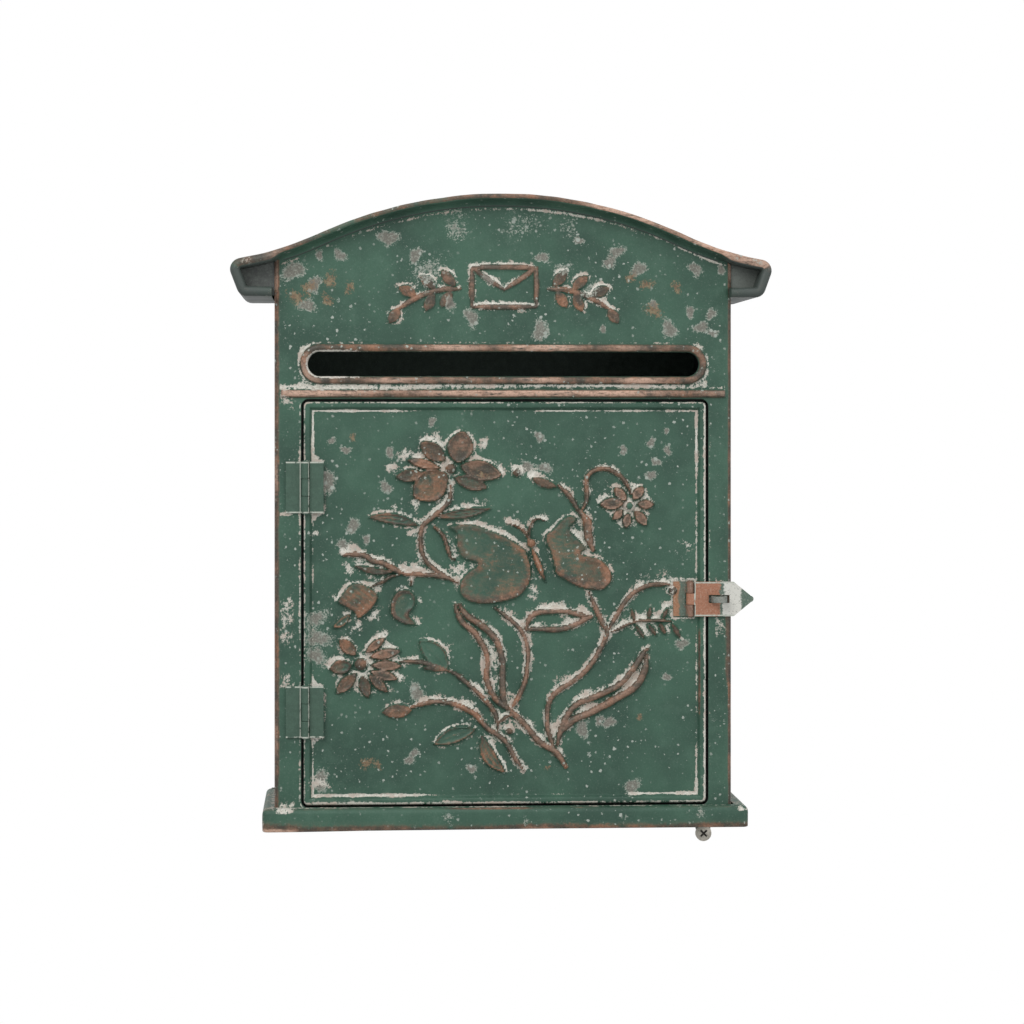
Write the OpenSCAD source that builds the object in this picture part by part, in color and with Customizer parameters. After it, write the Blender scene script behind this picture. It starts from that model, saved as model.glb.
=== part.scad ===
// Wall-hung letter box of pressed and folded tinplate: an arched roof with
// eaves, a letter slot, a side-hinged door with a floral relief, and a hasp.
// X runs to the right, Y from the front to the wall, Z up, in millimetres.
// The wall lies in the plane Y = 0. The origin is midway between the two
// wall holes of the back panel.

/* [Body] */
// Width over the folded side walls
body_w = 236; // [160:1:320]
// Depth from the wall to the front face
body_d = 84; // [60:1:140]
// Thickness of the tinplate
sheet_t = 0.8; // [0.6:0.1:1.5]
// Outer radius of the upright front folds
fold_r = 3; // [2:0.5:5]
// Width of the flanges turned in at the back
rear_flange_w = 9; // [6:1:14]

/* [Roof] */
// How far the eaves stand out past the side walls
eave_out = 21.5; // [16:0.5:40]
// Height of the crown above the middle of the letter slot
crown_rise = 87.8; // [75:0.1:120]
// Radius of the crown's arch
crown_r = 222; // [160:1:320]
// Slope at which the crown turns into the flare
crown_angle = 25; // [20:1:30]
// Slope of the flare at the eave
flare_angle = 10; // [6:1:14]
// How far the roof stands in front of the front face
roof_overhang = 10; // [6:1:20]
// Height and depth of the hem folded along the front edge
hem_w = 5.6; // [4:0.1:8]
// Height of the eave
eave_h = 19.6; // [16:0.2:28]
// Outer radius of the eave's folds
eave_r = 5.6; // [5.6:0.1:7]
// Lean of the eave's end from the upright
eave_lean = 20; // [10:1:30]

/* [Base] */
// How far the base tray stands out past the side walls
base_out = 7; // [4:0.5:14]
// Height of the base tray
base_h = 11; // [8:1:20]
// How far the tray stands in front of the front face
base_step = 6; // [4:0.5:12]
// Rounding of the tray's top and corners
base_r = 3; // [2:0.5:4]

/* [Door] */
// Width of the front left beside the door
stile_w = 13.5; // [12:0.5:30]
// Height of the door
door_h = 208.6; // [130:0.2:280]
// Offset of the door to the right of the middle
door_shift = 0.8; // [0:0.1:2]
// Gap between door and frame
door_gap = 1.2; // [0.8:0.1:2]
// Depth of the door's turned-back edge
door_d = 6.5; // [5:0.5:10]
// Width of the raised border round the door
border_w = 5.5; // [4:0.5:9]
// How far the door's field lies behind its border
field_drop = 2.2; // [1.2:0.1:3]
// Height of the relief over the field
relief_h = 2.4; // [1:0.1:3]
// Width of the stop behind the door's edge
stop_w = 5; // [3:0.5:8]

/* [Letter slot] */
// Distance from the side walls to the ends of the slot
slot_margin = 16.5; // [10:0.5:50]
// Clear height of the slot
slot_h = 12.6; // [9:0.1:20]
// Width of the rolled lip round the slot
lip_w = 4.2; // [3:0.1:6]
// Distance from the door's top edge to the middle of the slot
slot_rise = 19.4; // [17:0.1:30]
// Width of the moulding over the door
rib_w = 4.4; // [3:0.1:5]
// Distance from the door's top edge to the middle of the moulding
rib_rise = 4.2; // [4:0.1:6]

/* [Hinges] */
// Height of a hinge
hinge_h = 26.5; // [20:0.5:34]
// Distance of the upper hinge's middle from the door's upper edge
upper_hinge_inset = 44.3; // [20:0.1:80]
// Distance of the lower hinge's middle from the door's lower edge
lower_hinge_inset = 48.4; // [20:0.1:80]
// Outer radius of the knuckles
knuckle_r = 2; // [1.8:0.1:3]
// Radius of the pins
pin_r = 0.9; // [0.8:0.05:1.2]
// Width of the leaf on the frame, from the pin's axis
frame_leaf_w = 10; // [8:0.5:11]
// Width of the leaf on the door, from the pin's axis
door_leaf_w = 9.4; // [6:0.5:12]

/* [Hasp] */
// Height of the hasp
hasp_h = 18; // [14:0.5:26]
// Height of the hasp's middle over the middle of the door
hasp_rise = 1.7; // [-30:0.1:30]
// Distance of the hasp's pin from the door's raised border
hasp_inset = 2.9; // [2.6:0.1:6]
// Length of the flap from its pin to the tip
flap_l = 33; // [30:0.5:40]
// Height of the staple's strip
staple_h = 3.2; // [2:0.1:4]
// Width of the staple
staple_w = 8; // [7:0.1:9]
// Reach of the staple in front of the flap
staple_reach = 7.5; // [6:0.5:10]

/* [Fixing] */
// Height of the wall holes over the underside of the base
hang_z = 200; // [120:1:200]
// Distance between the wall holes
hole_spacing = 150; // [80:1:190]
// Diameter of the wall holes
hole_d = 5; // [4:0.5:8]
// Distance of the fixing ear from the right side wall
ear_inset = 3.7; // [3:0.1:60]
// Depth of the ear's screw under the base
ear_drop = 15.5; // [12:0.5:24]
// Width of the ear
ear_w = 8; // [7:0.5:8.5]
// Diameter of the ear's screw
screw_d = 4; // [3:0.5:4.5]
// Diameter of the screw's head
screw_head_d = 8.8; // [8:0.1:11]
// Length of the screw under its head
screw_l = 28; // [16:1:40]

/* [Hidden] */
$fn = 64;

seam = 0.1;          // gap left where two sheets are joined
lift = 0.3;          // gap under a hinge leaf
pin_play = 0.05;     // radial play of a pin in its knuckle
knuckle_gap = 0.3;   // gap between two knuckles
leaf_t = 0.9;        // thickness of hinge and hasp leaves
over = 1;            // overlength of a cutting body

face_y = -body_d;                            // front face of the body
base_w = body_w + 2 * base_out;
base_top = base_h;
door_w = body_w - 2 * stile_w;
door_bottom = base_top + door_gap;
door_top = door_bottom + door_h;
door_left = door_shift - door_w / 2;
door_right = door_shift + door_w / 2;
door_corner_r = 2.5;
stop_depth = door_d + 0.7;                   // from the front face to the door stop
rib_z = door_top + rib_rise;
slot_z = door_top + slot_rise;
slot_w = body_w - 2 * slot_margin;
ear_x = body_w / 2 - ear_inset;

// Roof: the crown's arc meets the flare's arc at crown_angle, and the flare
// ends at the eave's fold with the slope flare_angle.
roof_w = body_w + 2 * eave_out;
roof_top = slot_z + crown_rise;
crown_z = roof_top - crown_r;
flare_bite = 0.02;   // how far the flare cuts into the crown, so that their arcs cross
hem_proud = 0.3;     // how far the hem stands out of the sheet's outer surface
flare_end_x = roof_w / 2 - hem_proud - eave_r * (1 - sin(flare_angle));
flare_r = (flare_end_x - crown_r * sin(crown_angle)) / (sin(crown_angle) - sin(flare_angle));
flare_x = (crown_r + flare_r) * sin(crown_angle);
flare_z = crown_z + (crown_r + flare_r) * cos(crown_angle) - flare_bite;
flare_end_z = flare_z - flare_r * cos(flare_angle);
eave_top = [flare_end_x - eave_r * sin(flare_angle), flare_end_z - eave_r * cos(flare_angle)];
eave_drop = eave_h - 2 * eave_r;
eave_bottom = [eave_top[0] - eave_drop * tan(eave_lean), eave_top[1] - eave_drop];
roof_y = face_y - roof_overhang;

// Hinge and hasp
hinge_x = door_left + 0.9;
hinge_y = face_y - lift - knuckle_r;
hasp_x = door_right - border_w - hasp_inset;
hasp_y = face_y + field_drop - lift - knuckle_r;
hasp_mid = (door_bottom + door_top) / 2 + hasp_rise;
flap_y = hasp_y - knuckle_r;                 // front of the flap
strip_t = 1.3;                               // thickness of the staple's strip
leg_clear = 0.3;                             // from the door's jamb to the staple
staple_x = door_right + door_gap + sheet_t + leg_clear + staple_w / 2;
staple_slot = staple_w + 2.9;                // length of the slot in the flap
staple_slot_x = staple_x + 0.3;
staple_play = 0.5;                           // above and below the strip

// ---- outlines ------------------------------------------------------------

function lerp2(a, b, s) = a + (b - a) * s;
function unit(v) = v / max(norm(v), 1e-6);
function left_of(v) = [-v[1], v[0]];

// One point of a smooth curve through four neighbouring points
function smooth(p0, p1, p2, p3, s) =
    0.5 * (2 * p1 + (p2 - p0) * s + (2 * p0 - 5 * p1 + 4 * p2 - p3) * s * s
    + (3 * p1 - p0 - 3 * p2 + p3) * s * s * s);

// Smooth open curve through the points
function open_curve(p, steps = 4) = concat(
    [for (i = [0:len(p) - 2], k = [0:steps - 1])
        smooth(p[max(i - 1, 0)], p[i], p[i + 1], p[min(i + 2, len(p) - 1)], k / steps)],
    [p[len(p) - 1]]);

// Smooth closed curve through the points
function closed_curve(p, steps = 3) = [for (i = [0:len(p) - 1], k = [0:steps - 1])
    smooth(p[(i + len(p) - 1) % len(p)], p[i], p[(i + 1) % len(p)], p[(i + 2) % len(p)],
        k / steps)];

// A stem: a strip of width w along a smooth curve, narrowed at both ends
module stem(points, w = 3.6) {
    c = open_curve(points);
    n = len(c) - 1;
    edge = [for (i = [0:n]) left_of(unit(c[min(i + 1, n)] - c[max(i - 1, 0)]))
        * w / 2 * min(1, 0.5 + min(i, n - i) / 4)];
    polygon(concat([for (i = [0:n]) c[i] + edge[i]],
        [for (i = [n:-1:0]) c[i] - edge[i]]));
}

// A leaf or petal from base to tip, w wide and bowed sideways by bow
module leaf(base, tip, w, bow = 0, steps = 10) {
    side = left_of(unit(tip - base));
    mid = [for (i = [0:steps]) lerp2(base, tip, i / steps)
        + side * bow * 4 * (i / steps) * (1 - i / steps)];
    half = [for (i = [0:steps]) side * w / 2 * pow(sin(180 * i / steps), 0.7)];
    polygon(concat([for (i = [0:steps]) mid[i] + half[i]],
        [for (i = [steps - 1:-1:1]) mid[i] - half[i]]));
}

// ---- relief of the door, from the middle of the door ----------------------

// The relief is drawn for a field of this width and height, and follows the real one
drawn_field = [198, 197.6];
fit = [(door_w - 2 * border_w) / drawn_field[0], (door_h - 2 * border_w) / drawn_field[1]];
function on_field(p) = [p[0] * fit[0], p[1] * fit[1]];
function all_on_field(points) = [for (p = points) on_field(p)];

stems = [
    [[-26, 62], [-29, 54], [-36, 47], [-42, 41], [-44, 35], [-44, 28], [-41, 21], [-35, 15], [-25, 10]],
    [[-34, 14.5], [-42, 15.5], [-50, 15.5], [-56, 17], [-62, 21], [-70, 23.5], [-82, 26.5]],
    [[-52, 15.5], [-62, 12.5], [-71, 8]],
    [[-55, -31], [-45, -30.5], [-36, -33], [-28, -36], [-20, -42], [-12, -50], [-6, -58], [-4, -67]],
    [[-48, -55], [-40, -52], [-32, -51.5], [-24, -54], [-17, -59], [-10, -65], [-4, -69], [0, -74],
        [4, -80], [9, -88]],
    [[-25, -2], [-21, -8], [-13, -15], [-9, -24], [-9, -34], [-8, -44], [-3, -53], [3, -58], [10, -65],
        [17, -72], [24, -77], [29, -83], [32, -87]],
    [[-24, -1], [-14, -9], [-6, -17], [-2, -25], [-1, -35], [-1, -45], [3, -57]],
    [[-6, -2], [2, -9], [8, -15], [11, -22], [11.5, -30], [10, -40], [7, -48], [3, -57]],
    [[26, -78], [22, -70], [20.5, -62], [22, -54], [27, -48], [34, -44], [40, -38], [46, -30],
        [51, -20], [53, -15], [49, -9], [46, -3], [43, 6]],
    [[53, -15], [57, -8], [62, 0], [68, 5], [75, 8.5], [81, 9.5]],
    [[53, -15], [60, -12.5], [66, -10], [75, -9.5], [84, -9.5]],
    [[27, -77], [28, -70], [30, -60], [36, -53], [46, -47.5], [57, -42.5], [65, -37], [70, -30],
        [73, -24]],
    [[28, -69], [36, -61.5], [45, -57], [54, -53], [64, -48], [70, -41.5], [73, -35], [73.5, -25]],
    [[26, 60], [32, 55], [36, 50], [40, 44], [43, 36], [45, 29]],
    [[39, 47], [42, 57], [42.5, 63], [46, 68], [52, 70], [58, 68], [62, 63], [64, 57]],
    [[12, 33], [10, 38], [4, 41], [-3, 42]],
    [[13, 33], [14, 39], [16, 43], [21, 43]],
    [[-34, 39], [-31.5, 33], [-30.5, 27], [-27.5, 22]],
    [[-49, 15], [-49.5, 8]]
];

// base, tip, width, bow
leaves = [
    [[-44, 40], [-71, 45], 7, -1.5],
    [[-36, 44], [-7, 49], 6, -1],
    [[-56, 17], [-81, 19.5], 5, 2],
    [[-28, -35], [-44, -34], 4, 1],
    [[-27, -34], [-44, -18], 12, -1],
    [[-15, -65], [-38, -75], 8, -1.5],
    [[-13, -66], [0, -90], 6.5, -3],
    [[10, -12], [45, -7.5], 10, -1.5],
    [[13, 67.5], [29, 58.5], 6, 0],
    [[-48, -57], [-62, -56], 9, 0],
    [[69, -10], [65, -3.5], 4, 0],
    [[68, -11], [74, -19], 4.5, 0],
    [[76, -9], [74, -1], 4.5, 0],
    [[75, -10], [79, -18], 4, 0],
    [[81.5, -9], [83, -18], 4, 0],
    [[87, -11], [91, -18.5], 4, 0],
    [[-47, 8], [-46, -12], 8, 8],
    [[-84, -5], [-90, -13], 5, 1]
];

// centre of the flower, then base, tip and width of each petal
flowers = [
    [[-29, 69], [[-24, 70], [-22, 89], 15], [[-24, 72], [-2, 66], 12.5], [[-27, 62], [-8, 60], 8.5],
        [[-31, 74], [-44, 83], 12], [[-35, 72], [-52, 75], 6.5], [[-45, 68], [-57, 66], 7],
        [[-30, 66], [-48, 55], 17]],
    [[-75, -32], [[-77, -30], [-84, -20], 8], [[-75, -28], [-63, -19], 9],
        [[-73, -30], [-56, -32], 15], [[-71, -35], [-60, -44], 8], [[-74, -35], [-72, -48], 8],
        [[-77, -35], [-86, -45], 7], [[-77, -32], [-91, -33], 9]],
    [[65, 50], [[62, 53], [56, 60], 7], [[67, 53], [72, 61], 7], [[69, 51], [77, 54], 6],
        [[69, 48], [76, 38], 7], [[64, 47], [63, 39], 7], [[61, 48], [55, 41], 6],
        [[61, 51], [48, 51], 8]]
];

left_wing = [[-27, 40], [-20, 41.5], [-10, 39.5], [0, 35], [9, 30], [12, 22], [13, 13], [9, 4],
    [1, -0.5], [-9, -1.5], [-18, 0], [-24, 6], [-22, 13], [-15, 19], [-24, 24], [-26, 31]];
right_wing = [[19, 33], [25, 40], [31, 45], [36, 45], [37, 41], [35, 37], [36, 32], [41, 29],
    [42, 26], [48, 24], [54, 18], [55, 11], [50, 6.5], [41, 7], [32, 9], [25, 15], [20, 22]];
butterfly_body = [[11.5, 33], [21.5, 10]];
rose_bud = [[-88, 1], [-82, 7], [-76, 10.5], [-70, 7.5], [-66.5, 3], [-70, -3], [-77, -8.5],
    [-81, -5]];

module relief_2d() {
    for (s = stems) stem(all_on_field(s));
    for (l = leaves) leaf(on_field(l[0]), on_field(l[1]), l[2], l[3]);
    for (f = flowers) {
        translate(on_field(f[0])) circle(3);
        for (i = [1:len(f) - 1]) leaf(on_field(f[i][0]), on_field(f[i][1]), f[i][2]);
    }
    for (outline = [left_wing, right_wing, rose_bud]) polygon(closed_curve(all_on_field(outline)));
    leaf(on_field(butterfly_body[0]), on_field(butterfly_body[1]), 5.5);
}

// ---- emblem over the slot: an envelope between two sprigs ------------------

emblem_z = slot_z + 40;    // middle of the envelope
emblem_h = 1.2;
envelope_w = 36;
envelope_h = 23;
envelope_line = 2.6;
sprig = [[23, -1], [33, -1.5], [44, -5], [56, -12]];
// base, tip and width of each leaflet
sprig_leaves = [[[25, 0], [33, 9], 6.5], [[27, -2], [33, -11], 6.5], [[35, -1], [44, 6], 6.5],
    [[36, -3], [41, -13], 6.5], [[45, -4.5], [55, 0], 6.5], [[54, -11], [60, -19], 6.5]];

module envelope_2d() {
    difference() {
        square([envelope_w, envelope_h], center = true);
        square([envelope_w - 2 * envelope_line, envelope_h - 2 * envelope_line], center = true);
    }
    corner = [envelope_w / 2 - 1, envelope_h / 2 - 1];
    for (side = [-1, 1])
        stem([[side * corner[0], corner[1]], [side * corner[0] / 2, corner[1] / 2 - 0.7], [0, -1.4]],
            envelope_line);
}

module emblem_2d() {
    envelope_2d();
    for (side = [0, 1]) mirror([side, 0]) {
        stem(sprig, 3);
        for (l = sprig_leaves) leaf(l[0], l[1], l[2]);
    }
}

// ---- shared shapes ---------------------------------------------------------

// Puts a node into the part's frame
module placed() {
    translate([0, 0, -hang_z]) children();
}

// Extrudes an outline drawn in X and Z from y0 towards the wall
module upright(y0, depth) {
    translate([0, y0 + depth, 0]) rotate([90, 0, 0]) linear_extrude(depth) children();
}

module rounded_rect(w, h, r) {
    square([w - 2 * r, h], center = true);
    square([w, h - 2 * r], center = true);
    for (x = [-1, 1], y = [-1, 1]) translate([x * (w / 2 - r), y * (h / 2 - r)]) circle(r);
}

// A sector of a ring from angle a0 to a1, less than 180 degrees apart
module ring_sector(r_out, r_in, a0, a1) {
    reach = r_out * 1.5;
    mid = (a0 + a1) / 2;
    intersection() {
        difference() {
            circle(r_out, $fn = 180);
            if (r_in > 0) circle(r_in, $fn = 180);
        }
        polygon([[0, 0], reach * [cos(a0), sin(a0)], reach * [cos(mid), sin(mid)],
            reach * [cos(a1), sin(a1)]]);
    }
}

// A stadium of length w and height h
module stadium(w, h) {
    square([w - h, h], center = true);
    for (x = [-1, 1]) translate([x * (w - h) / 2, 0]) circle(h / 2);
}

// A cylinder along Z with a bore
module tube(r, bore_r, h) {
    difference() {
        cylinder(r = r, h = h);
        translate([0, 0, -over]) cylinder(r = bore_r, h = h + 2 * over);
    }
}

// ---- roof ------------------------------------------------------------------

// The filled outline of the roof, t inside its outer surface
module roof_region(t) {
    join = [(crown_r - t) * sin(crown_angle), crown_z + (crown_r - t) * cos(crown_angle)];
    r = eave_r - t;
    floor_z = eave_bottom[1] - r;
    lean = [cos(eave_lean), -sin(eave_lean)];
    difference() {
        union() {
            intersection() {
                translate([0, crown_z]) circle(crown_r - t, $fn = 180);
                translate([-join[0], floor_z]) square([2 * join[0], roof_top]);
            }
            for (side = [0, 1]) mirror([side, 0]) {
                polygon([[join[0] - over, floor_z], [eave_bottom[0], floor_z],
                    eave_bottom + r * lean, eave_top + r * lean,
                    eave_top + r * [sin(flare_angle), cos(flare_angle)],
                    [eave_top[0], join[1]], [join[0] - over, join[1]]]);
                translate(eave_bottom) circle(r);
                translate(eave_top) circle(r);
            }
        }
        for (side = [0, 1]) mirror([side, 0])
            translate([flare_x, flare_z]) circle(flare_r + t, $fn = 180);
    }
}

// The part of the roof between t0 and t1 inside its outer surface
module roof_band(t0, t1) {
    floor_z = eave_bottom[1] - eave_r;
    difference() {
        roof_region(t0);
        roof_region(t1);
        translate([-body_w / 2 - seam, floor_z - over])
            square([body_w + 2 * seam, t1 + 2 * over]);
    }
}

module roof() {
    color([0.20, 0.33, 0.27]) placed() {
        upright(roof_y + hem_w / 2, -roof_y - hem_w / 2) roof_band(0, sheet_t);
        upright(roof_y, hem_w) roof_band(-hem_proud, hem_w);
    }
}

// What lies under the roof sheet, down to z0, with a gap to it
module under_roof(z0) {
    roof_region(sheet_t + seam);
    translate([-body_w / 2 - over, z0]) square([body_w + 2 * over, eave_bottom[1] - z0]);
}

module eave_plate(side) {
    color([0.36, 0.38, 0.36]) placed() mirror([side < 0 ? 1 : 0, 0, 0])
        upright(face_y + fold_r, sheet_t) intersection() {
            roof_region(sheet_t + seam);
            translate([body_w / 2 + seam, 0]) square([roof_w, roof_top]);
        }
}

// ---- body ------------------------------------------------------------------

// Plan of the body sheet: front, two sides and the flanges at the back
module body_plan() {
    depth = body_d - sheet_t - seam;
    inner_r = fold_r - sheet_t;
    difference() {
        translate([0, face_y + depth / 2]) rounded_rect(body_w, depth, fold_r);
        translate([0, face_y + depth / 2])
            rounded_rect(body_w - 2 * sheet_t, depth - 2 * sheet_t, inner_r);
        translate([-body_w / 2 + rear_flange_w, face_y + depth - over - sheet_t])
            square([body_w - 2 * rear_flange_w, 2 * over + sheet_t]);
    }
}

// A block of the door's outline, grown by g, from depth d0 to d1 behind the face
module door_block(g, d0, d1) {
    r = max(door_corner_r + g, 0.8);
    translate([0, 0, (door_bottom + door_top) / 2])
        upright(face_y + d0, d1 - d0) translate([door_shift, 0])
            rounded_rect(door_w + 2 * g, door_h + 2 * g, r);
}

// Half-round ridge with its back on the face, bulging to the front
module ridge(x0, x1, z, r) {
    translate([x0, face_y, z]) rotate([0, 90, 0]) cylinder(r = r, h = x1 - x0);
}

// The lip round the slot as a closed round bar of radius r
module slot_bar(r) {
    mid_r = slot_h / 2 + lip_w / 2;
    straight = (slot_w - slot_h) / 2;
    for (side = [-1, 1]) {
        translate([-straight, face_y, slot_z + side * mid_r])
            rotate([0, 90, 0]) cylinder(r = r, h = 2 * straight);
        translate([side * straight, face_y, slot_z]) rotate([90, 0, 0])
            rotate([0, 0, side > 0 ? -90 : 90])
                rotate_extrude(angle = 180) translate([mid_r, 0]) circle(r);
    }
}

module behind_face() {
    translate([-body_w, face_y, 0]) cube([2 * body_w, body_d, roof_top]);
}

module body_shell() {
    rib_end = body_w / 2 - fold_r;
    color([0.22, 0.38, 0.31]) placed() difference() {
        union() {
            intersection() {
                linear_extrude(roof_top) body_plan();
                upright(face_y - over, body_d + over) under_roof(sheet_t + seam);
            }
            // jamb and stop of the door
            difference() {
                door_block(door_gap + sheet_t, 0, stop_depth + sheet_t);
                door_block(door_gap, -over, stop_depth);
                door_block(door_gap - stop_w, stop_depth - over, stop_depth + 2 * over);
            }
            ridge(-rib_end, rib_end, rib_z, rib_w / 2);
            slot_bar(lip_w / 2);
            upright(face_y - emblem_h, emblem_h + sheet_t / 2) translate([0, emblem_z]) emblem_2d();
        }
        door_block(door_gap, -over, stop_depth);
        door_block(door_gap - stop_w, stop_depth - over, stop_depth + 2 * over);
        // the slot, and the hollow backs of moulding and lip
        upright(face_y - 2 * over, fold_r + 2 * over) translate([0, slot_z]) stadium(slot_w, slot_h);
        intersection() {
            union() {
                ridge(-rib_end + sheet_t, rib_end - sheet_t, rib_z, rib_w / 2 - sheet_t);
                slot_bar(lip_w / 2 - sheet_t);
            }
            translate([-body_w, face_y - lip_w, 0]) cube([2 * body_w, lip_w + sheet_t + over, roof_top]);
        }
        // slits for the staple's legs
        for (side = [-1, 1]) translate([staple_x + side * (staple_w - strip_t) / 2, face_y, hasp_mid])
            cube([strip_t + 2 * seam, 2 * (fold_r + over), staple_h + 2 * seam], center = true);
    }
}

module back_panel() {
    color([0.24, 0.30, 0.27]) placed() difference() {
        upright(-sheet_t, sheet_t) {
            roof_region(sheet_t + seam);
            translate([-body_w / 2, 0]) square([body_w, eave_bottom[1]]);
            translate([ear_x - ear_w / 2, -ear_drop]) square([ear_w, ear_drop + base_h]);
            translate([ear_x, -ear_drop]) circle(ear_w / 2);
        }
        for (side = [-1, 1]) translate([side * hole_spacing / 2, over, hang_z])
            rotate([90, 0, 0]) cylinder(d = hole_d, h = sheet_t + 2 * over);
        translate([ear_x, over, -ear_drop]) rotate([90, 0, 0])
            cylinder(r = screw_d / 2 + 4 * pin_play, h = sheet_t + 2 * over);
    }
}

// A block with upright corners and top edges of radius r and a flat underside
module soft_block(w, d, h, r) {
    linear_extrude(h - r) rounded_rect(w, d, r);
    linear_extrude(h) square([w - 2 * r, d - 2 * r], center = true);
    for (y = [-1, 1]) translate([-w / 2 + r, y * (d / 2 - r), h - r])
        rotate([0, 90, 0]) cylinder(r = r, h = w - 2 * r);
    for (x = [-1, 1]) translate([x * (w / 2 - r), -d / 2 + r, h - r])
        rotate([-90, 0, 0]) cylinder(r = r, h = d - 2 * r);
    for (x = [-1, 1], y = [-1, 1]) translate([x * (w / 2 - r), y * (d / 2 - r), h - r]) sphere(r);
}

module base_tray() {
    depth = body_d + base_step - sheet_t - seam;
    mid_y = face_y - base_step + depth / 2;
    color([0.22, 0.38, 0.31]) placed() difference() {
        translate([0, mid_y, 0]) soft_block(base_w, depth, base_h, base_r);
        translate([0, mid_y, sheet_t])
            soft_block(base_w - 2 * sheet_t, depth - 2 * sheet_t, base_h - 2 * sheet_t,
                base_r - sheet_t);
        // the body stands in the tray through this opening
        translate([0, face_y + body_d / 2, sheet_t]) linear_extrude(base_h)
            rounded_rect(body_w + 2 * seam, body_d + 2 * seam, fold_r);
    }
}

// ---- door ------------------------------------------------------------------

module door_panel() {
    field_back = field_drop + sheet_t;
    color([0.25, 0.42, 0.34]) placed() {
        difference() {
            door_block(0, 0, door_d);
            door_block(-sheet_t, sheet_t, door_d + over);
            door_block(-border_w, -over, sheet_t + over);
        }
        difference() {
            door_block(sheet_t - border_w, 0, field_back);
            door_block(-border_w, -over, field_drop);
        }
        upright(face_y + field_drop - relief_h, relief_h + sheet_t / 2)
            translate([door_shift, (door_bottom + door_top) / 2]) relief_2d();
    }
}

// ---- hinges ----------------------------------------------------------------

function hinge_mid(upper) = upper ? door_top - upper_hinge_inset : door_bottom + lower_hinge_inset;
knuckle_h = (hinge_h - 2 * knuckle_gap) / 3;

// Leaf with its knuckles at the given heights, its plate on the side `side`
module leaf_plate(side, w, h, heights) {
    bore_r = pin_r + pin_play;
    difference() {
        translate([side > 0 ? 0 : -w, knuckle_r - leaf_t, -h / 2]) cube([w, leaf_t, h]);
        // room for the other leaf's knuckles
        difference() {
            translate([-knuckle_r - lift, -over, -h / 2 - over])
                cube([2 * (knuckle_r + lift), knuckle_r + 2 * over, h + 2 * over]);
            for (z = heights) translate([-2 * knuckle_r, -2 * over, z])
                cube([4 * knuckle_r, knuckle_r + 4 * over, knuckle_h]);
        }
        cylinder(r = bore_r, h = h + over, center = true);
    }
    for (z = heights) translate([0, 0, z]) tube(knuckle_r, bore_r, knuckle_h);
}

module frame_leaf(upper) {
    color([0.20, 0.35, 0.28]) placed() translate([hinge_x, hinge_y, hinge_mid(upper)])
        leaf_plate(-1, frame_leaf_w, hinge_h, [-hinge_h / 2, hinge_h / 2 - knuckle_h]);
}

module door_leaf(upper) {
    color([0.24, 0.40, 0.32]) placed() translate([hinge_x, hinge_y, hinge_mid(upper)])
        leaf_plate(1, door_leaf_w, hinge_h, [-knuckle_h / 2]);
}

// Pin with a low head peened on each end
module headed_pin(length) {
    head_h = 0.5;
    cylinder(r = pin_r, h = length + 2 * seam, center = true);
    for (side = [-1, 1]) translate([0, 0, side * (length / 2 + seam + head_h / 2)])
        cylinder(r = pin_r * 1.5, h = head_h, center = true);
}

module hinge_pin(upper) {
    color([0.40, 0.30, 0.24]) placed() translate([hinge_x, hinge_y, hinge_mid(upper)])
        headed_pin(hinge_h);
}

// ---- hasp ------------------------------------------------------------------

hasp_knuckle_h = (hasp_h - 2 * knuckle_gap) / 3;

module hasp_leaf() {
    leaf_w = 8.6;
    bore_r = pin_r + pin_play;
    color([0.55, 0.33, 0.22]) placed() translate([hasp_x, hasp_y, hasp_mid]) difference() {
        union() {
            translate([-leaf_w, knuckle_r - leaf_t, -hasp_h / 2]) cube([leaf_w, leaf_t, hasp_h]);
            cylinder(r = knuckle_r, h = hasp_h, center = true);
        }
        cylinder(r = bore_r, h = hasp_h + over, center = true);
        // room for the flap's middle knuckle
        translate([0, 0, 0])
            cube([2 * (knuckle_r + lift), 4 * knuckle_r, hasp_knuckle_h + 2 * knuckle_gap],
                center = true);
    }
}

module hasp_pin() {
    color([0.40, 0.30, 0.24]) placed() translate([hasp_x, hasp_y, hasp_mid]) headed_pin(hasp_h);
}

// Outline of the flap: a strap with a blunt arrow tip, from the pin's axis
module flap_outline() {
    tip_r = 1.6;
    shoulder = flap_l - 10.4;
    difference() {
        union() {
            translate([0, -hasp_h / 2]) square([shoulder, hasp_h]);
            polygon([[shoulder - over, hasp_h / 2], [shoulder, hasp_h / 2],
                [flap_l - tip_r * 0.6, tip_r * 0.8], [flap_l - tip_r * 0.6, -tip_r * 0.8],
                [shoulder, -hasp_h / 2], [shoulder - over, -hasp_h / 2]]);
            translate([flap_l - tip_r, 0]) circle(tip_r);
        }
        translate([staple_slot_x - hasp_x, 0])
            square([staple_slot, staple_h + 2 * staple_play], center = true);
    }
}

module hasp_flap() {
    bore_r = pin_r + pin_play;
    side_h = hasp_knuckle_h + knuckle_gap;
    color([0.66, 0.38, 0.24]) placed() translate([hasp_x, hasp_y, hasp_mid]) difference() {
        union() {
            upright(-knuckle_r, leaf_t) flap_outline();
            cylinder(r = knuckle_r, h = hasp_knuckle_h, center = true);
        }
        cylinder(r = bore_r, h = hasp_h, center = true);
        // room for the knuckles of the leaf on the door
        for (side = [-1, 1])
            translate([0, 0, side * (hasp_knuckle_h / 2 + knuckle_gap / 2 + side_h / 2)])
                cube([2 * (knuckle_r + lift), 4 * knuckle_r, side_h + knuckle_gap], center = true);
    }
}

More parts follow.
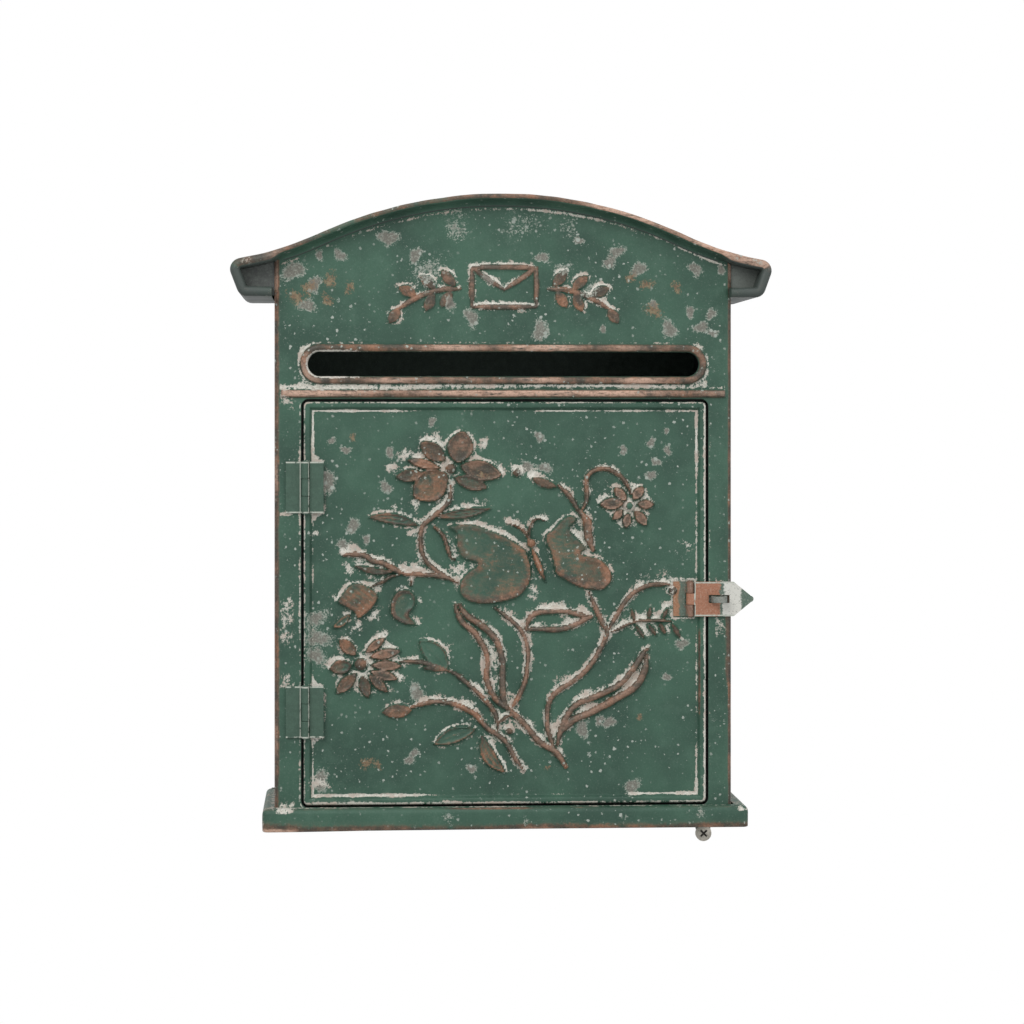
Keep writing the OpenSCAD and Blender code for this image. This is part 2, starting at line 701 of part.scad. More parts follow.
// A strip bent to a loop, its legs through the frame and clinched behind it
module staple() {
    foot = 2.4;
    back_y = face_y + sheet_t + seam;
    reach_y = flap_y - staple_reach;
    bend_r = staple_w / 2;
    color([0.55, 0.55, 0.50]) placed() translate([staple_x, 0, hasp_mid - staple_h / 2])
        linear_extrude(staple_h) {
            translate([0, reach_y + bend_r]) ring_sector(bend_r, bend_r - strip_t, 180, 270);
            translate([0, reach_y + bend_r]) ring_sector(bend_r, bend_r - strip_t, 270, 360);
            for (side = [0, 1]) mirror([side, 0]) {
                translate([bend_r - strip_t, reach_y + bend_r])
                    square([strip_t, back_y + strip_t - reach_y - bend_r]);
                translate([bend_r - strip_t - foot, back_y]) square([foot + over / 2, strip_t]);
            }
        }
}

// ---- screw -----------------------------------------------------------------

module ear_screw() {
    head_h = 2.6;
    dome_r = 9;
    core_r = screw_d / 2 - 0.35;
    point_l = 5;
    head_r = screw_head_d / 2;
    color([0.72, 0.71, 0.68]) placed() translate([ear_x, -sheet_t - seam, -ear_drop])
        rotate([-90, 0, 0]) difference() {
            union() {
                intersection() {
                    translate([0, 0, -head_h]) cylinder(r = head_r, h = head_h);
                    translate([0, 0, dome_r - head_h]) sphere(dome_r);
                }
                cylinder(r = core_r, h = screw_l - point_l);
                translate([0, 0, screw_l - point_l]) cylinder(r1 = core_r, r2 = 0.2, h = point_l);
            }
            for (turn = [45, 135]) rotate([0, 0, turn]) translate([0, 0, -head_h])
                cube([head_r * 1.15, 1, 2.6], center = true);
        }
}

// ---- nodes -----------------------------------------------------------------

body_shell();
back_panel();
roof();
eave_plate(-1);  // eave_plate_left
eave_plate(1);  // eave_plate_right
base_tray();
door_panel();
frame_leaf(true);  // upper_hinge_frame_leaf
door_leaf(true);  // upper_hinge_door_leaf
hinge_pin(true);  // upper_hinge_pin
frame_leaf(false);  // lower_hinge_frame_leaf
door_leaf(false);  // lower_hinge_door_leaf
hinge_pin(false);  // lower_hinge_pin
hasp_leaf();
hasp_pin();
hasp_flap();
staple();
ear_screw();
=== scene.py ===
import math

import bpy
import numpy as np
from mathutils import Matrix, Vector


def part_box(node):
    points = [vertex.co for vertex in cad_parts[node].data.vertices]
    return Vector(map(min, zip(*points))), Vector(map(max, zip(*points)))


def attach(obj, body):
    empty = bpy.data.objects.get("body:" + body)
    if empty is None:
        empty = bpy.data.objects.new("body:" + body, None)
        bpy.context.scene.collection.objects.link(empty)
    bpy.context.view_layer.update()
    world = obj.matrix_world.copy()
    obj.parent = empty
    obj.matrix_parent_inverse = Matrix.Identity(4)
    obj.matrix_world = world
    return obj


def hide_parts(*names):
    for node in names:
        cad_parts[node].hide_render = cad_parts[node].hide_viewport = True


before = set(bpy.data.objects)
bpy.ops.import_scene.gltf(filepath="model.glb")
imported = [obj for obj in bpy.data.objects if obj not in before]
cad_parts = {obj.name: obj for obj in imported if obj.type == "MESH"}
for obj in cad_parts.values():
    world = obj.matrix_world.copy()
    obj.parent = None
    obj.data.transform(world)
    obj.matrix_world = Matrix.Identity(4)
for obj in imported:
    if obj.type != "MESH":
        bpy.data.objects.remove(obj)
print("frame loaded")

# Lengths are millimetres until a mesh is written, with z from the two wall holes.


def boxOf(node):
    # lower and upper corner of a CAD node
    low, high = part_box(node)
    return np.array(low) * 1000, np.array(high) * 1000


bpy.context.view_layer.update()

shellLow, shellHigh = boxOf("body_shell")
doorLow, doorHigh = boxOf("door_panel")
roofLow, roofHigh = boxOf("roof")
trayLow, trayHigh = boxOf("base_tray")

doorDepth = 6.5                          # of the folded door, border to back
sheet = 0.8                              # thickness of the tinplate
faceY = doorHigh[1] - doorDepth          # front of the body and of the door's border
halfBody = (shellHigh[0] - shellLow[0]) / 2
trayZ = trayLow[2]                       # underside of the base


def middleZ(node):
    # height of a CAD node's middle
    low, high = boxOf(node)
    return (low[2] + high[2]) / 2


hingeZ = [middleZ("upper_hinge_frame_leaf"), middleZ("lower_hinge_frame_leaf")]
haspZ = middleZ("hasp_flap")


def ease(low, high, value):
    # 0 below low, 1 above high, and an S curve between
    t = np.clip((value - low) / (high - low), 0.0, 1.0)
    return t * t * (3 - 2 * t)


def wave(x, z, size, seed):
    # a slow, smooth unevenness: four crossed sine waves, about -1 to 1
    total = np.zeros(np.broadcast(x, z).shape)
    for k in range(4):
        angle = seed * 1.7 + k * 2.4
        length = size * (0.7 + 0.23 * k)
        phase = seed * 3.1 + k * 1.9
        total += np.sin((x * math.cos(angle) + z * math.sin(angle)) * 2 * math.pi / length + phase)
    return total / 4


def smoothPath(points, steps=5, closed=False):
    # a curve through the points, each span a cubic of its four neighbours
    p = np.array(points, float)
    if closed:
        a, b, c, d = np.roll(p, 1, 0), p, np.roll(p, -1, 0), np.roll(p, -2, 0)
    else:
        a = np.vstack([p[:1], p[:-2]])
        b, c = p[:-1], p[1:]
        d = np.vstack([p[2:], p[-1:]])
    s = (np.arange(steps) / steps)[None, :, None]
    a, b, c, d = (v[:, None, :] for v in (a, b, c, d))
    curve = 0.5 * (2 * b + (c - a) * s + (2 * a - 5 * b + 4 * c - d) * s ** 2
                   + (3 * b - a - 3 * c + d) * s ** 3)
    curve = curve.reshape(-1, p.shape[1])
    return curve if closed else np.vstack([curve, p[-1:]])


def roundRect(x, z, halfW, halfH, radius):
    # distance to a rectangle with round corners, negative inside
    qx, qz = np.abs(x) - halfW + radius, np.abs(z) - halfH + radius
    return np.hypot(np.maximum(qx, 0), np.maximum(qz, 0)) + np.minimum(np.maximum(qx, qz), 0) - radius


def quads(nu, nv, closed=False, keep=None):
    # four corners of each cell of a grid stored row by row, u first
    iu = np.arange(nu if closed else nu - 1)
    a, b = np.meshgrid(iu, np.arange(nv - 1), indexing="ij")
    c = (a + 1) % nu
    faces = np.stack([a * nv + b, c * nv + b, c * nv + b + 1, a * nv + b + 1], -1)
    faces = faces.reshape(-1, 4)
    return faces if keep is None else faces[keep]


class Piece:
    # gathers grids of points, their faces and their wear, and makes one mesh of them
    def __init__(self):
        self.points, self.faces, self.count = [], [], 0
        self.marks = {"worn": [], "foot": [], "patch": [], "rust": [], "inside": []}

    def add(self, points, faces, **marks):
        # marks are single values or one for each point; gives the first point's number
        points = np.asarray(points, float).reshape(-1, 3)
        n = len(points)
        self.points.append(points)
        self.faces += (faces + self.count).tolist()
        for key, store in self.marks.items():
            mark = np.asarray(marks.get(key, 0.0), float).reshape(-1)
            store.append(np.broadcast_to(mark, (n,)).copy())
        self.count += n
        return self.count - n

    def make(self, name, body, replaces, material, sharp=38):
        # one object at the origin; folds over sharp degrees stay crisp
        mesh = bpy.data.meshes.new(name)
        mesh.from_pydata(np.vstack(self.points) * 0.001, [], self.faces)
        for key, store in self.marks.items():
            mesh.attributes.new(key, "FLOAT", "POINT").data.foreach_set("value", np.concatenate(store))
        mesh.validate()
        mesh.polygons.foreach_set("use_smooth", np.ones(len(mesh.polygons), bool))
        mesh.set_sharp_from_angle(angle=math.radians(sharp))
        mesh.update()
        piece = bpy.data.objects.new(name, mesh)
        bpy.context.scene.collection.objects.link(piece)
        mesh.materials.append(material)
        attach(piece, body)
        if replaces:
            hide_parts(*replaces)
        triangles = sum(len(p.vertices) - 2 for p in mesh.polygons)
        print(name, "made,", triangles, "triangles")
        return piece


def linear(text):
    # sRGB hex to linear light
    value = np.array([int(text[i:i + 2], 16) for i in (1, 3, 5)]) / 255
    value = np.where(value <= 0.04045, value / 12.92, ((value + 0.055) / 1.055) ** 2.4)
    return (*map(float, value), 1.0)


def add(tree, kind, *values, named=None, out=None, **settings):
    # one node: its settings, then a value or a link for each live input in order or by name;
    # gives the output named, or else the first live one
    node = tree.nodes.new("ShaderNode" + kind)
    for key, value in settings.items():
        setattr(node, key, value)
    live = [socket for socket in node.inputs if socket.enabled]
    pairs = [*zip(live, values)] + [(node.inputs[key], value) for key, value in (named or {}).items()]
    for socket, value in pairs:
        if isinstance(value, bpy.types.NodeSocket):
            tree.links.new(value, socket)
        else:
            socket.default_value = value
    return node.outputs[out] if out else next((socket for socket in node.outputs if socket.enabled), None)


def coats(tree, colour, *layers):
    # Lays colours over a first one. A layer is an amount and a colour, or a value, the two
    # ends between which the coat comes in, its full strength and a colour.
    for *amount, over in layers:
        on = amount[0]
        if len(amount) > 1:
            value, low, high, full = amount
            on = add(tree, "MapRange", value, low, high, 0.0, full)
        colour = add(tree, "Mix", on, colour, over, data_type="RGBA")
    return colour


def newMaterial(name):
    material = bpy.data.materials.new(name)
    material.use_nodes = True
    material.node_tree.nodes.clear()
    return material, material.node_tree


wornPaint = {
    "tones": {
        "green": "#3b5c4b", "greenDeep": "#2b473a", "greenPale": "#4e6b5b", "greenGrit": "#7f8d82", "greenPit": "#2c3f35",
        "umber": "#423d34", "copper": "#65503f", "copperLight": "#94725f", "copperWarm": "#9a6c50",
        "copperHighlight": "#c6a48f", "copperPit": "#2f2d26", "copperGrit": "#a89a8c", "olive": "#535747", "wash": "#5a6150",
        "cream": "#dedbd0", "creamDirty": "#aaa699", "creamPink": "#b5a699",
        "bloomPale": "#9da498", "bloomPink": "#79746b", "bloomGrit": "#b3b6ab", "bloomPit": "#6a7268",
        "rust": "#765540", "rustYellow": "#8f7f63", "speck": "#a3aaa0",
        "bare": "#464c49", "bareDark": "#3d413f", "dark": "#0d0f0e",
    },
    # grain size in millimetres, detail and roughness
    "grains": {"broad": (38, 3.0, 0.55), "middle": (8, 4.0, 0.6), "fine": (2.2, 4.0, 0.7), "grit": (0.9, 3.0, 0.75),
               "brush": (1.5, 3.0, 0.6)},
    "brushStretch": (0.3, 1.0, 1.1),     # rub marks run across: long in x and short in z
    # specks: spacing of the cells, size, and where the pattern starts
    "specks": [(2.4, 0.34, 0.0), (6.5, 0.15, 40.0)],
    "roughness": (0.46, 0.6), "chalkRoughness": 0.9, "specular": 0.35,
    "bump": (0.6, 0.00015),              # strength, depth in metres
}


def wornPaintMaterial(name, settings):
    # Matt enamel brushed over tinplate, rubbed back on the high edges to a
    # copper-brown coat, with cream primer along the feet of the relief:
    # a soft green field, rosy-brown crests and ragged pale lines.
    material, tree = newMaterial(name)
    tone = {key: linear(value) for key, value in settings["tones"].items()}
    at = add(tree, "VectorMath", add(tree, "TexCoord", out="Object"), (1000.0,) * 3, operation="MULTIPLY")   # millimetres
    across = add(tree, "VectorMath", at, settings["brushStretch"], operation="MULTIPLY")
    worn, foot, patch, rust, inside = (
        add(tree, "Attribute", out="Fac", attribute_name=key) for key in ("worn", "foot", "patch", "rust", "inside"))
    broad, middle, fine, grit, brush = (
        add(tree, "TexNoise", across if key == "brush" else at, 1 / size, detail, roughness)
        for key, (size, detail, roughness) in settings["grains"].items())

    # green enamel, greyer where rubbed
    green = coats(tree, tone["green"],
                  (broad, 0.36, 0.64, 1.0, tone["greenDeep"]), (middle, 0.5, 0.8, 0.5, tone["greenPale"]),
                  (grit, 0.55, 0.8, 0.28, tone["greenGrit"]), (grit, 0.46, 0.3, 0.3, tone["greenPit"]))

    # copper-brown coat: umber, brown and rosy parts, streaked by rubbing; where worn runs past 1 on the highest crests,
    # a pale pink painted highlight
    streak = add(tree, "Math", brush, 0.5, -0.42, operation="MULTIPLY_ADD")
    streak = add(tree, "Math", worn, 0.45, streak, operation="MULTIPLY_ADD")
    streak = add(tree, "Math", middle, streak, operation="ADD")
    warm = add(tree, "Math", broad, add(tree, "Math", middle, 0.6, operation="MULTIPLY"), operation="ADD")
    crestHighlight = add(tree, "Math", add(tree, "MapRange", worn, 0.98, 1.16, 0.0, 0.9), add(tree, "MapRange", brush, 0.3, 0.52),
                 operation="MULTIPLY")
    brown = coats(tree, tone["umber"],
                  (middle, 0.38, 0.6, 1.0, tone["copper"]), (fine, 0.52, 0.66, 0.6, tone["olive"]),
                  (streak, 0.7, 0.98, 0.85, tone["copperLight"]), (warm, 0.86, 0.98, 0.55, tone["copperWarm"]),
                  (crestHighlight, tone["copperHighlight"]),
                  (grit, 0.5, 0.32, 0.6, tone["copperPit"]), (grit, 0.58, 0.74, 0.4, tone["copperGrit"]))

    # the rubbed places have ragged edges, and a thin brown wash about them
    ragged = add(tree, "Math", middle, add(tree, "Math", brush, fine, operation="ADD"), operation="ADD")
    ragged = add(tree, "Math", ragged, 0.55, -0.82, operation="MULTIPLY_ADD")
    wornOn = add(tree, "MapRange", add(tree, "Math", worn, ragged, operation="ADD"), 0.3, 0.62)
    wornOn = add(tree, "Math", wornOn, add(tree, "MapRange", worn, 0.02, 0.12), operation="MULTIPLY")
    washOn = add(tree, "MapRange", add(tree, "Math", middle, fine, operation="ADD"), 0.8, 1.15, 0.0, 0.75)
    washOn = add(tree, "Math", add(tree, "MapRange", worn, 0.08, 0.4), washOn, operation="MULTIPLY")
    colour = coats(tree, green, (washOn, tone["wash"]), (wornOn, brown))

    # bloom where the paint has gone chalky: stipple that crowds towards a spot's middle
    stipple = add(tree, "Math", add(tree, "Math", grit, 0.6, operation="MULTIPLY"),
                  add(tree, "Math", fine, 0.4, operation="MULTIPLY"), operation="ADD")
    bloom = add(tree, "Math", stipple, 2.4, patch, operation="MULTIPLY_ADD")
    bloom = add(tree, "Math", add(tree, "MapRange", bloom, 1.62, 1.82, 0.0, 0.85), add(tree, "MapRange", patch, 0.0, 0.2),
                operation="MULTIPLY")
    chalk = coats(tree, tone["bloomPale"],
                  (add(tree, "Math", patch, fine, operation="ADD"), 1.0, 1.25, 1.0, tone["bloomPink"]),
                  (grit, 0.5, 0.64, 0.55, tone["bloomGrit"]), (grit, 0.46, 0.34, 0.5, tone["bloomPit"]))

    # rust freckles
    freckle = add(tree, "MapRange", add(tree, "Math", rust, 0.17, stipple, operation="MULTIPLY_ADD"), 0.56, 0.64, 0.0, 0.8)
    freckle = add(tree, "Math", freckle, add(tree, "MapRange", rust, 0.0, 0.15), operation="MULTIPLY")
    rusty = coats(tree, tone["rust"], (fine, 0.4, 0.65, 1.0, tone["rustYellow"]))

    # cream primer along feet and edges, broken up by three grains
    chip = add(tree, "Math", add(tree, "Math", fine, 1.5, operation="MULTIPLY"),
               add(tree, "Math", middle, grit, operation="ADD"), operation="ADD")
    chip = add(tree, "Math", chip, 1.3, -2.27, operation="MULTIPLY_ADD")
    chipped = add(tree, "MapRange", add(tree, "Math", foot, chip, operation="ADD"), 0.42, 0.58)
    chipped = add(tree, "Math", chipped, add(tree, "MapRange", foot, 0.03, 0.2), operation="MULTIPLY")
    dirt = add(tree, "Math", fine, 0.5, add(tree, "Math", grit, 0.5, operation="MULTIPLY"), operation="MULTIPLY_ADD")
    cream = coats(tree, tone["cream"], (dirt, 0.45, 0.62, 1.0, tone["creamDirty"]), (middle, 0.5, 0.62, 0.8, tone["creamPink"]))

    # specks: dots of round cells, each as large as its cell's random value allows, and fine grit in clusters
    specks = None
    for spacing, size, start in settings["specks"]:
        moved = add(tree, "VectorMath", at, (start,) * 3, operation="ADD")
        cells = add(tree, "TexVoronoi", moved, 1 / spacing, out="Distance")
        chance = add(tree, "SeparateColor", cells.node.outputs["Color"])
        radius = add(tree, "Math", add(tree, "Math", chance, 4.0, operation="POWER"),
                     add(tree, "Math", patch, size * 0.8, size, operation="MULTIPLY_ADD"), operation="MULTIPLY")
        away = add(tree, "Math", add(tree, "Math", grit, 0.9, cells, operation="MULTIPLY_ADD"), 0.45, operation="SUBTRACT")
        dot = add(tree, "MapRange", add(tree, "Math", radius, away, operation="SUBTRACT"), 0.0, 0.05)
        specks = dot if specks is None else add(tree, "Math", specks, dot, operation="MAXIMUM")
    specks = add(tree, "Math", specks, add(tree, "MapRange", broad, 0.4, 0.58, 0.22, 1.0), operation="MULTIPLY")
    clusters = add(tree, "Math", broad, 0.25, grit, operation="MULTIPLY_ADD")
    specks = add(tree, "Math", specks, add(tree, "MapRange", clusters, 0.83, 0.88, 0.0, 0.8), operation="MAXIMUM")

    # all of it on the paint, then bare grey metal under the eaves, and near-black inside: dark paint and painted shade
    # in the slot, the door gap and the box
    bare = add(tree, "Mix", middle, tone["bare"], tone["bareDark"], data_type="RGBA")
    colour = coats(tree, colour, (bloom, chalk), (freckle, rusty), (chipped, cream), (specks, tone["speck"]),
                   (inside, 0.0, 0.5, 1.0, bare), (inside, 0.5, 1.0, 1.0, tone["dark"]))

    pale = add(tree, "Math", chipped, bloom, operation="MAXIMUM")
    rough = add(tree, "MapRange", middle, 0.3, 0.7, *settings["roughness"])
    rough = add(tree, "Mix", pale, rough, settings["chalkRoughness"])
    height = add(tree, "Math", add(tree, "Math", fine, grit, operation="ADD"), 0.35, operation="MULTIPLY")
    height = add(tree, "Math", brush, add(tree, "Math", wornOn, 0.8, operation="MULTIPLY"), height, operation="MULTIPLY_ADD")
    height = add(tree, "Math", pale, -0.3, height, operation="MULTIPLY_ADD")
    bump = add(tree, "Bump", *settings["bump"], named={"Height": height})
    shader = add(tree, "BsdfPrincipled", named={"Base Color": colour, "Roughness": rough, "Normal": bump,
                                                "Specular IOR Level": settings["specular"]})
    add(tree, "OutputMaterial", shader)
    return material


paint = wornPaintMaterial("agedGreenEnamel", wornPaint)


def zoneMaterial(name, tone):
    # Old paint on small ironware. The tones run green, brown, pale chips and dark
    # pits in patches of two or three millimetres.
    material, tree = newMaterial(name)
    at = add(tree, "VectorMath", add(tree, "TexCoord", out="Object"), (1000.0,) * 3, operation="MULTIPLY")
    parts = add(tree, "SeparateXYZ", at).node.outputs
    patches = add(tree, "TexNoise", at, 1 / 3.5, 4.0, 0.7)
    grain = add(tree, "TexNoise", at, 1 / 0.8, 3.0, 0.7)

    colour = coats(tree, linear(tone["base"]), (patches, 0.4, 0.65, 1.0, linear(tone["worn"])))
    for axis, low, high, over in tone.get("zones", []):
        # a band between low and high along one axis, with a ragged edge
        value = add(tree, "Math", patches, 5.0, -2.5, operation="MULTIPLY_ADD")
        value = add(tree, "Math", parts[axis], value, operation="ADD")
        on = add(tree, "Math", add(tree, "MapRange", value, low - 0.4, low + 0.4),
                 add(tree, "MapRange", value, high + 0.4, high - 0.4), operation="MULTIPLY")
        colour = coats(tree, colour, (on, linear(over)))
    for axis, place, width in tone.get("lines", []):
        # a thin broken pale line across the axis
        away = add(tree, "Math", add(tree, "Math", parts[axis], place, operation="SUBTRACT"), operation="ABSOLUTE")
        on = add(tree, "Math", add(tree, "MapRange", away, width * 0.6, width * 0.4),
                 add(tree, "MapRange", patches, 0.36, 0.46), operation="MULTIPLY")
        colour = coats(tree, colour, (on, linear("#b3b7ab")))
    colour = coats(tree, colour, (grain, 0.55, 0.72, 0.45, linear(tone["pale"])), (grain, 0.45, 0.28, 0.7, linear(tone["pit"])))
    if "cross" in tone:
        # dark in and about the head's cross recess: two diagonals, near the middle only
        cx, cz, arm, width = tone["cross"]
        x = add(tree, "Math", parts[0], cx, operation="SUBTRACT")
        z = add(tree, "Math", parts[2], cz, operation="SUBTRACT")
        a, b = (add(tree, "Math", add(tree, "Math", x, z, operation=way), operation="ABSOLUTE") for way in ("ADD", "SUBTRACT"))
        thin = add(tree, "MapRange", add(tree, "Math", a, b, operation="MINIMUM"), width, width * 0.6)
        near = add(tree, "MapRange", add(tree, "Math", a, b, operation="MAXIMUM"), arm, arm * 0.8)
        colour = coats(tree, colour, (add(tree, "Math", thin, near, operation="MULTIPLY"), linear("#24211c")))
    bump = add(tree, "Bump", 0.6, 0.00015, named={"Height": grain})
    shader = add(tree, "BsdfPrincipled", named={"Base Color": colour, "Roughness": tone["rough"],
                                                "Metallic": tone.get("metal", 0.0), "Normal": bump})
    add(tree, "OutputMaterial", shader)
    return material


flapLow, flapHigh = boxOf("hasp_flap")
leafLow, leafHigh = boxOf("hasp_leaf")
screwLow, screwHigh = boxOf("ear_screw")
screwMiddle = (screwLow[0] + screwHigh[0]) / 2, (screwLow[2] + screwHigh[2]) / 2
fittingPaint = zoneMaterial("agedGreenFittings", {
    "base": "#3a5949", "worn": "#436152", "pale": "#8d978b", "pit": "#2f4a3d", "rough": 0.5})
# pale lines down the knuckle's side and along the leaves' ends: axis, place, width
hingeLines = [(0, -101.0, 0.6), (0, -105.4, 0.5)] + [(2, z + end, 0.8) for z in hingeZ for end in (-12.9, 12.9)]
hingePaint = zoneMaterial("agedGreenHinges", {
    "base": "#314b3d", "worn": "#3a5546", "pale": "#566c5f", "pit": "#2a4235", "rough": 0.6, "lines": hingeLines})
haspPaint = {"base": "#4a6054", "worn": "#5b6a5d", "pale": "#b5b2a6", "pit": "#3d3a31", "rough": 0.55}
fittings = {
    # orange-brown near the pin, bare pale coat, then green at the tip
    "hasp_flap": zoneMaterial("chippedHaspPaint", haspPaint | {
        "zones": [(0, flapLow[0] - 9, flapLow[0] + 17.5, "#9c6a50"), (0, flapLow[0] + 19.0, flapLow[0] + 28.5, "#cfcec5")],
        "lines": [(0, flapLow[0] + 4.3, 0.8), (2, flapLow[2] + 0.5, 0.7), (2, flapHigh[2] - 0.5, 0.7)]}),
    "hasp_leaf": zoneMaterial("rustyHaspLeaf", haspPaint | {
        "worn": "#5c5f50",
        "zones": [(0, flapLow[0] - 40, leafLow[0] + 3, "#946a4c"), (0, leafHigh[0] - 4, 999, "#7b5b49")]}),
    # bare steel wire gone brown, and a galvanised strip rubbed grey
    "hasp_pin": zoneMaterial("rustyPin", {
        "base": "#6b5143", "worn": "#8a6a54", "pale": "#b0a698", "pit": "#3a3029", "rough": 0.6}),
    "staple": zoneMaterial("greyStaple", {
        "base": "#6f756f", "worn": "#82857c", "pale": "#b9bbb2", "pit": "#3f4441", "rough": 0.45}),
    # zinc gone dull: pale grey-beige with dark pits
    "ear_screw": zoneMaterial("dullZinc", {
        "base": "#a8a297", "worn": "#c2bcb0", "pale": "#dedad0", "pit": "#4a453c", "rough": 0.5, "metal": 0.3,
        "cross": (*screwMiddle, 3.4, 0.9)}),
    # the panel is darkened towards the inside as painted shade, and painted at the back
    "back_panel": zoneMaterial("backPanelPaint", {
        "base": "#3c4d43", "worn": "#4a5c50", "pale": "#7b857c", "pit": "#2e3a33", "rough": 0.6,
        "zones": [(1, -9.0, -2.9, "#0d0f0e")]}),
}
for edge in ("upper", "lower"):
    fittings[edge + "_hinge_frame_leaf"] = fittings[edge + "_hinge_door_leaf"] = hingePaint
# tinplate with most of the paint gone; the left one darker as painted shade, the right one paler as painted light
for side, base in (("left", "#4a4e4b"), ("right", "#666d66")):
    fittings["eave_plate_" + side] = zoneMaterial("greyEave" + side.title(), {
        "base": base, "worn": "#5f655f", "pale": "#7d817d", "pit": "#393d3b", "rough": 0.55})
print("materials ready")


class Field:
    # heights and marks over a grid of points; each form keeps the higher of old and new
    def __init__(self, x, z):
        self.x, self.z = x, z
        self.height = np.zeros(x.shape)
        self.worn = np.zeros(x.shape)
        self.gap = np.full(x.shape, 50.0)    # distance to the nearest form, negative inside one

    def window(self, points, margin):
        # the part of the grid within a margin of the points
        low, high = np.min(points, 0) - margin, np.max(points, 0) + margin
        near = (self.x > low[0]) & (self.x < high[0]) & (self.z > low[1]) & (self.z < high[1])
        i, j = np.nonzero(near.any(1))[0], np.nonzero(near.any(0))[0]
        where = (slice(i[0], i[-1] + 1), slice(j[0], j[-1] + 1))
        return where, self.x[where], self.z[where]

    def raiseForm(self, where, inside, height, worn):
        # keeps the greater height, and the wear of the form that has it
        old = self.height[where]
        higher = height > old
        self.height[where] = np.where(higher, height, old)
        self.worn[where] = np.where(higher & (inside > -0.2), worn, self.worn[where])
        self.gap[where] = np.minimum(self.gap[where], -inside)

    def ridge(self, points, width, height, wear=1.0):
        # half-round bar: height * sqrt(1 - (d / r)^2) at distance d from the curve, r falling at both ends
        curve = smoothPath(points)
        where, x, z = self.window(curve, 8)
        run = np.concatenate([[0], np.cumsum(np.hypot(*np.diff(curve, axis=0).T))])
        near, along = np.full(x.shape, 99.0), np.zeros(x.shape)
        for k in range(len(curve) - 1):
            a, b = curve[k], curve[k + 1]
            d = b - a
            t = np.clip(((x - a[0]) * d[0] + (z - a[1]) * d[1]) / max(d @ d, 1e-9), 0, 1)
            dist = np.hypot(x - a[0] - t * d[0], z - a[1] - t * d[1])
            closer = dist < near
            near = np.where(closer, dist, near)
            along = np.where(closer, run[k] + t * (run[k + 1] - run[k]), along)
        end = np.minimum(along, run[-1] - along)
        r = width / 2 * (0.55 + 0.45 * ease(0, 7, end))
        shape = np.sqrt(np.clip(1 - (near / r) ** 2, 0, 1))
        top = height * (0.75 + 0.25 * ease(0, 6, end))
        self.raiseForm(where, r - near, top * shape, wear * ease(0.25, 0.75, shape))

    def hollowForm(self, where, inside, height, rim, hollow, core, rib=None, wear=1.0):
        # rises over the first 1.4 mm, then sinks by the share hollow towards the middle
        rise = ease(0, 1.4, inside)
        sink = ease(rim * 0.6, rim * 1.9, inside)
        shape = rise * (1 - hollow * sink)
        worn = ease(0.35, 0.95, rise) * (1 - (1 - core) * sink)
        if rib is not None:
            shape = np.minimum(shape + 0.22 * rib * rise, 1.08)
            worn = np.maximum(worn, 0.9 * rib * rise)
        self.raiseForm(where, inside, height * shape, worn * wear)

    def leaf(self, base, tip, width, bow=0.0, height=2.3, hollow=0.35, core=0.35, rim=1.3, rib=0.9, wear=1.0):
        # half width = w/2 * sin(pi t)^0.7 across a base-to-tip line that is bowed sideways
        base, tip = np.array(base, float), np.array(tip, float)
        d = tip - base
        length = np.hypot(*d)
        u, n = d / length, np.array([-d[1], d[0]]) / length
        where, x, z = self.window(np.array([base, tip]), width + abs(bow) * 2 + 6)
        t = ((x - base[0]) * u[0] + (z - base[1]) * u[1]) / length
        across = (x - base[0]) * n[0] + (z - base[1]) * n[1]
        tc = np.clip(t, 0, 1)
        across = across - bow * 4 * tc * (1 - tc)
        half = width / 2 * np.sin(np.pi * tc) ** 0.7
        beyond = np.maximum(np.maximum(-t, t - 1), 0) * length
        outside = -np.hypot(beyond, np.maximum(np.abs(across) - 0.3, 0))
        inside = np.where(beyond > 0, outside, half - np.abs(across))
        inside = np.minimum(inside, np.minimum(tc, 1 - tc) * length * 0.8 + 0.3)
        vein = rib * np.exp(-(across / 0.55) ** 2) * ease(0, 0.15, tc) * ease(1.02, 0.75, tc)
        self.hollowForm(where, inside, height, rim, hollow, core, vein, wear)

    def outline(self, points, height=2.4, hollow=0.3, core=0.0, rim=2.0, steps=4):
        # inside of a closed curve; distance is to the nearest side, signed by the winding of the sides
        curve = smoothPath(points, steps, closed=True)
        where, x, z = self.window(curve, 7)
        near = np.full(x.shape, 99.0)
        turn = np.zeros(x.shape)
        for a, b in zip(curve, np.roll(curve, -1, 0)):
            d = b - a
            t = np.clip(((x - a[0]) * d[0] + (z - a[1]) * d[1]) / max(d @ d, 1e-9), 0, 1)
            near = np.minimum(near, np.hypot(x - a[0] - t * d[0], z - a[1] - t * d[1]))
            va, vb = (x - a[0], z - a[1]), (x - b[0], z - b[1])
            turn += np.arctan2(va[0] * vb[1] - va[1] * vb[0], va[0] * vb[0] + va[1] * vb[1])
        inside = np.where(np.abs(turn) > math.pi, near, -near)
        self.hollowForm(where, inside, height, rim, hollow, core)
        return where, inside

    def fade(self, where, inside, share):
        # less wear within a form that was just raised
        self.worn[where] = np.where(inside > 0, self.worn[where] * share, self.worn[where])

    def button(self, centre, radius, height, wear=0.8):
        # low dome of the given radius
        where, x, z = self.window(np.array([centre, centre], float), radius + 5)
        d = np.hypot(x - centre[0], z - centre[1])
        shape = np.sqrt(np.clip(1 - (d / radius) ** 2, 0, 1))
        self.raiseForm(where, radius - d, height * shape, wear * ease(0.2, 0.7, shape))


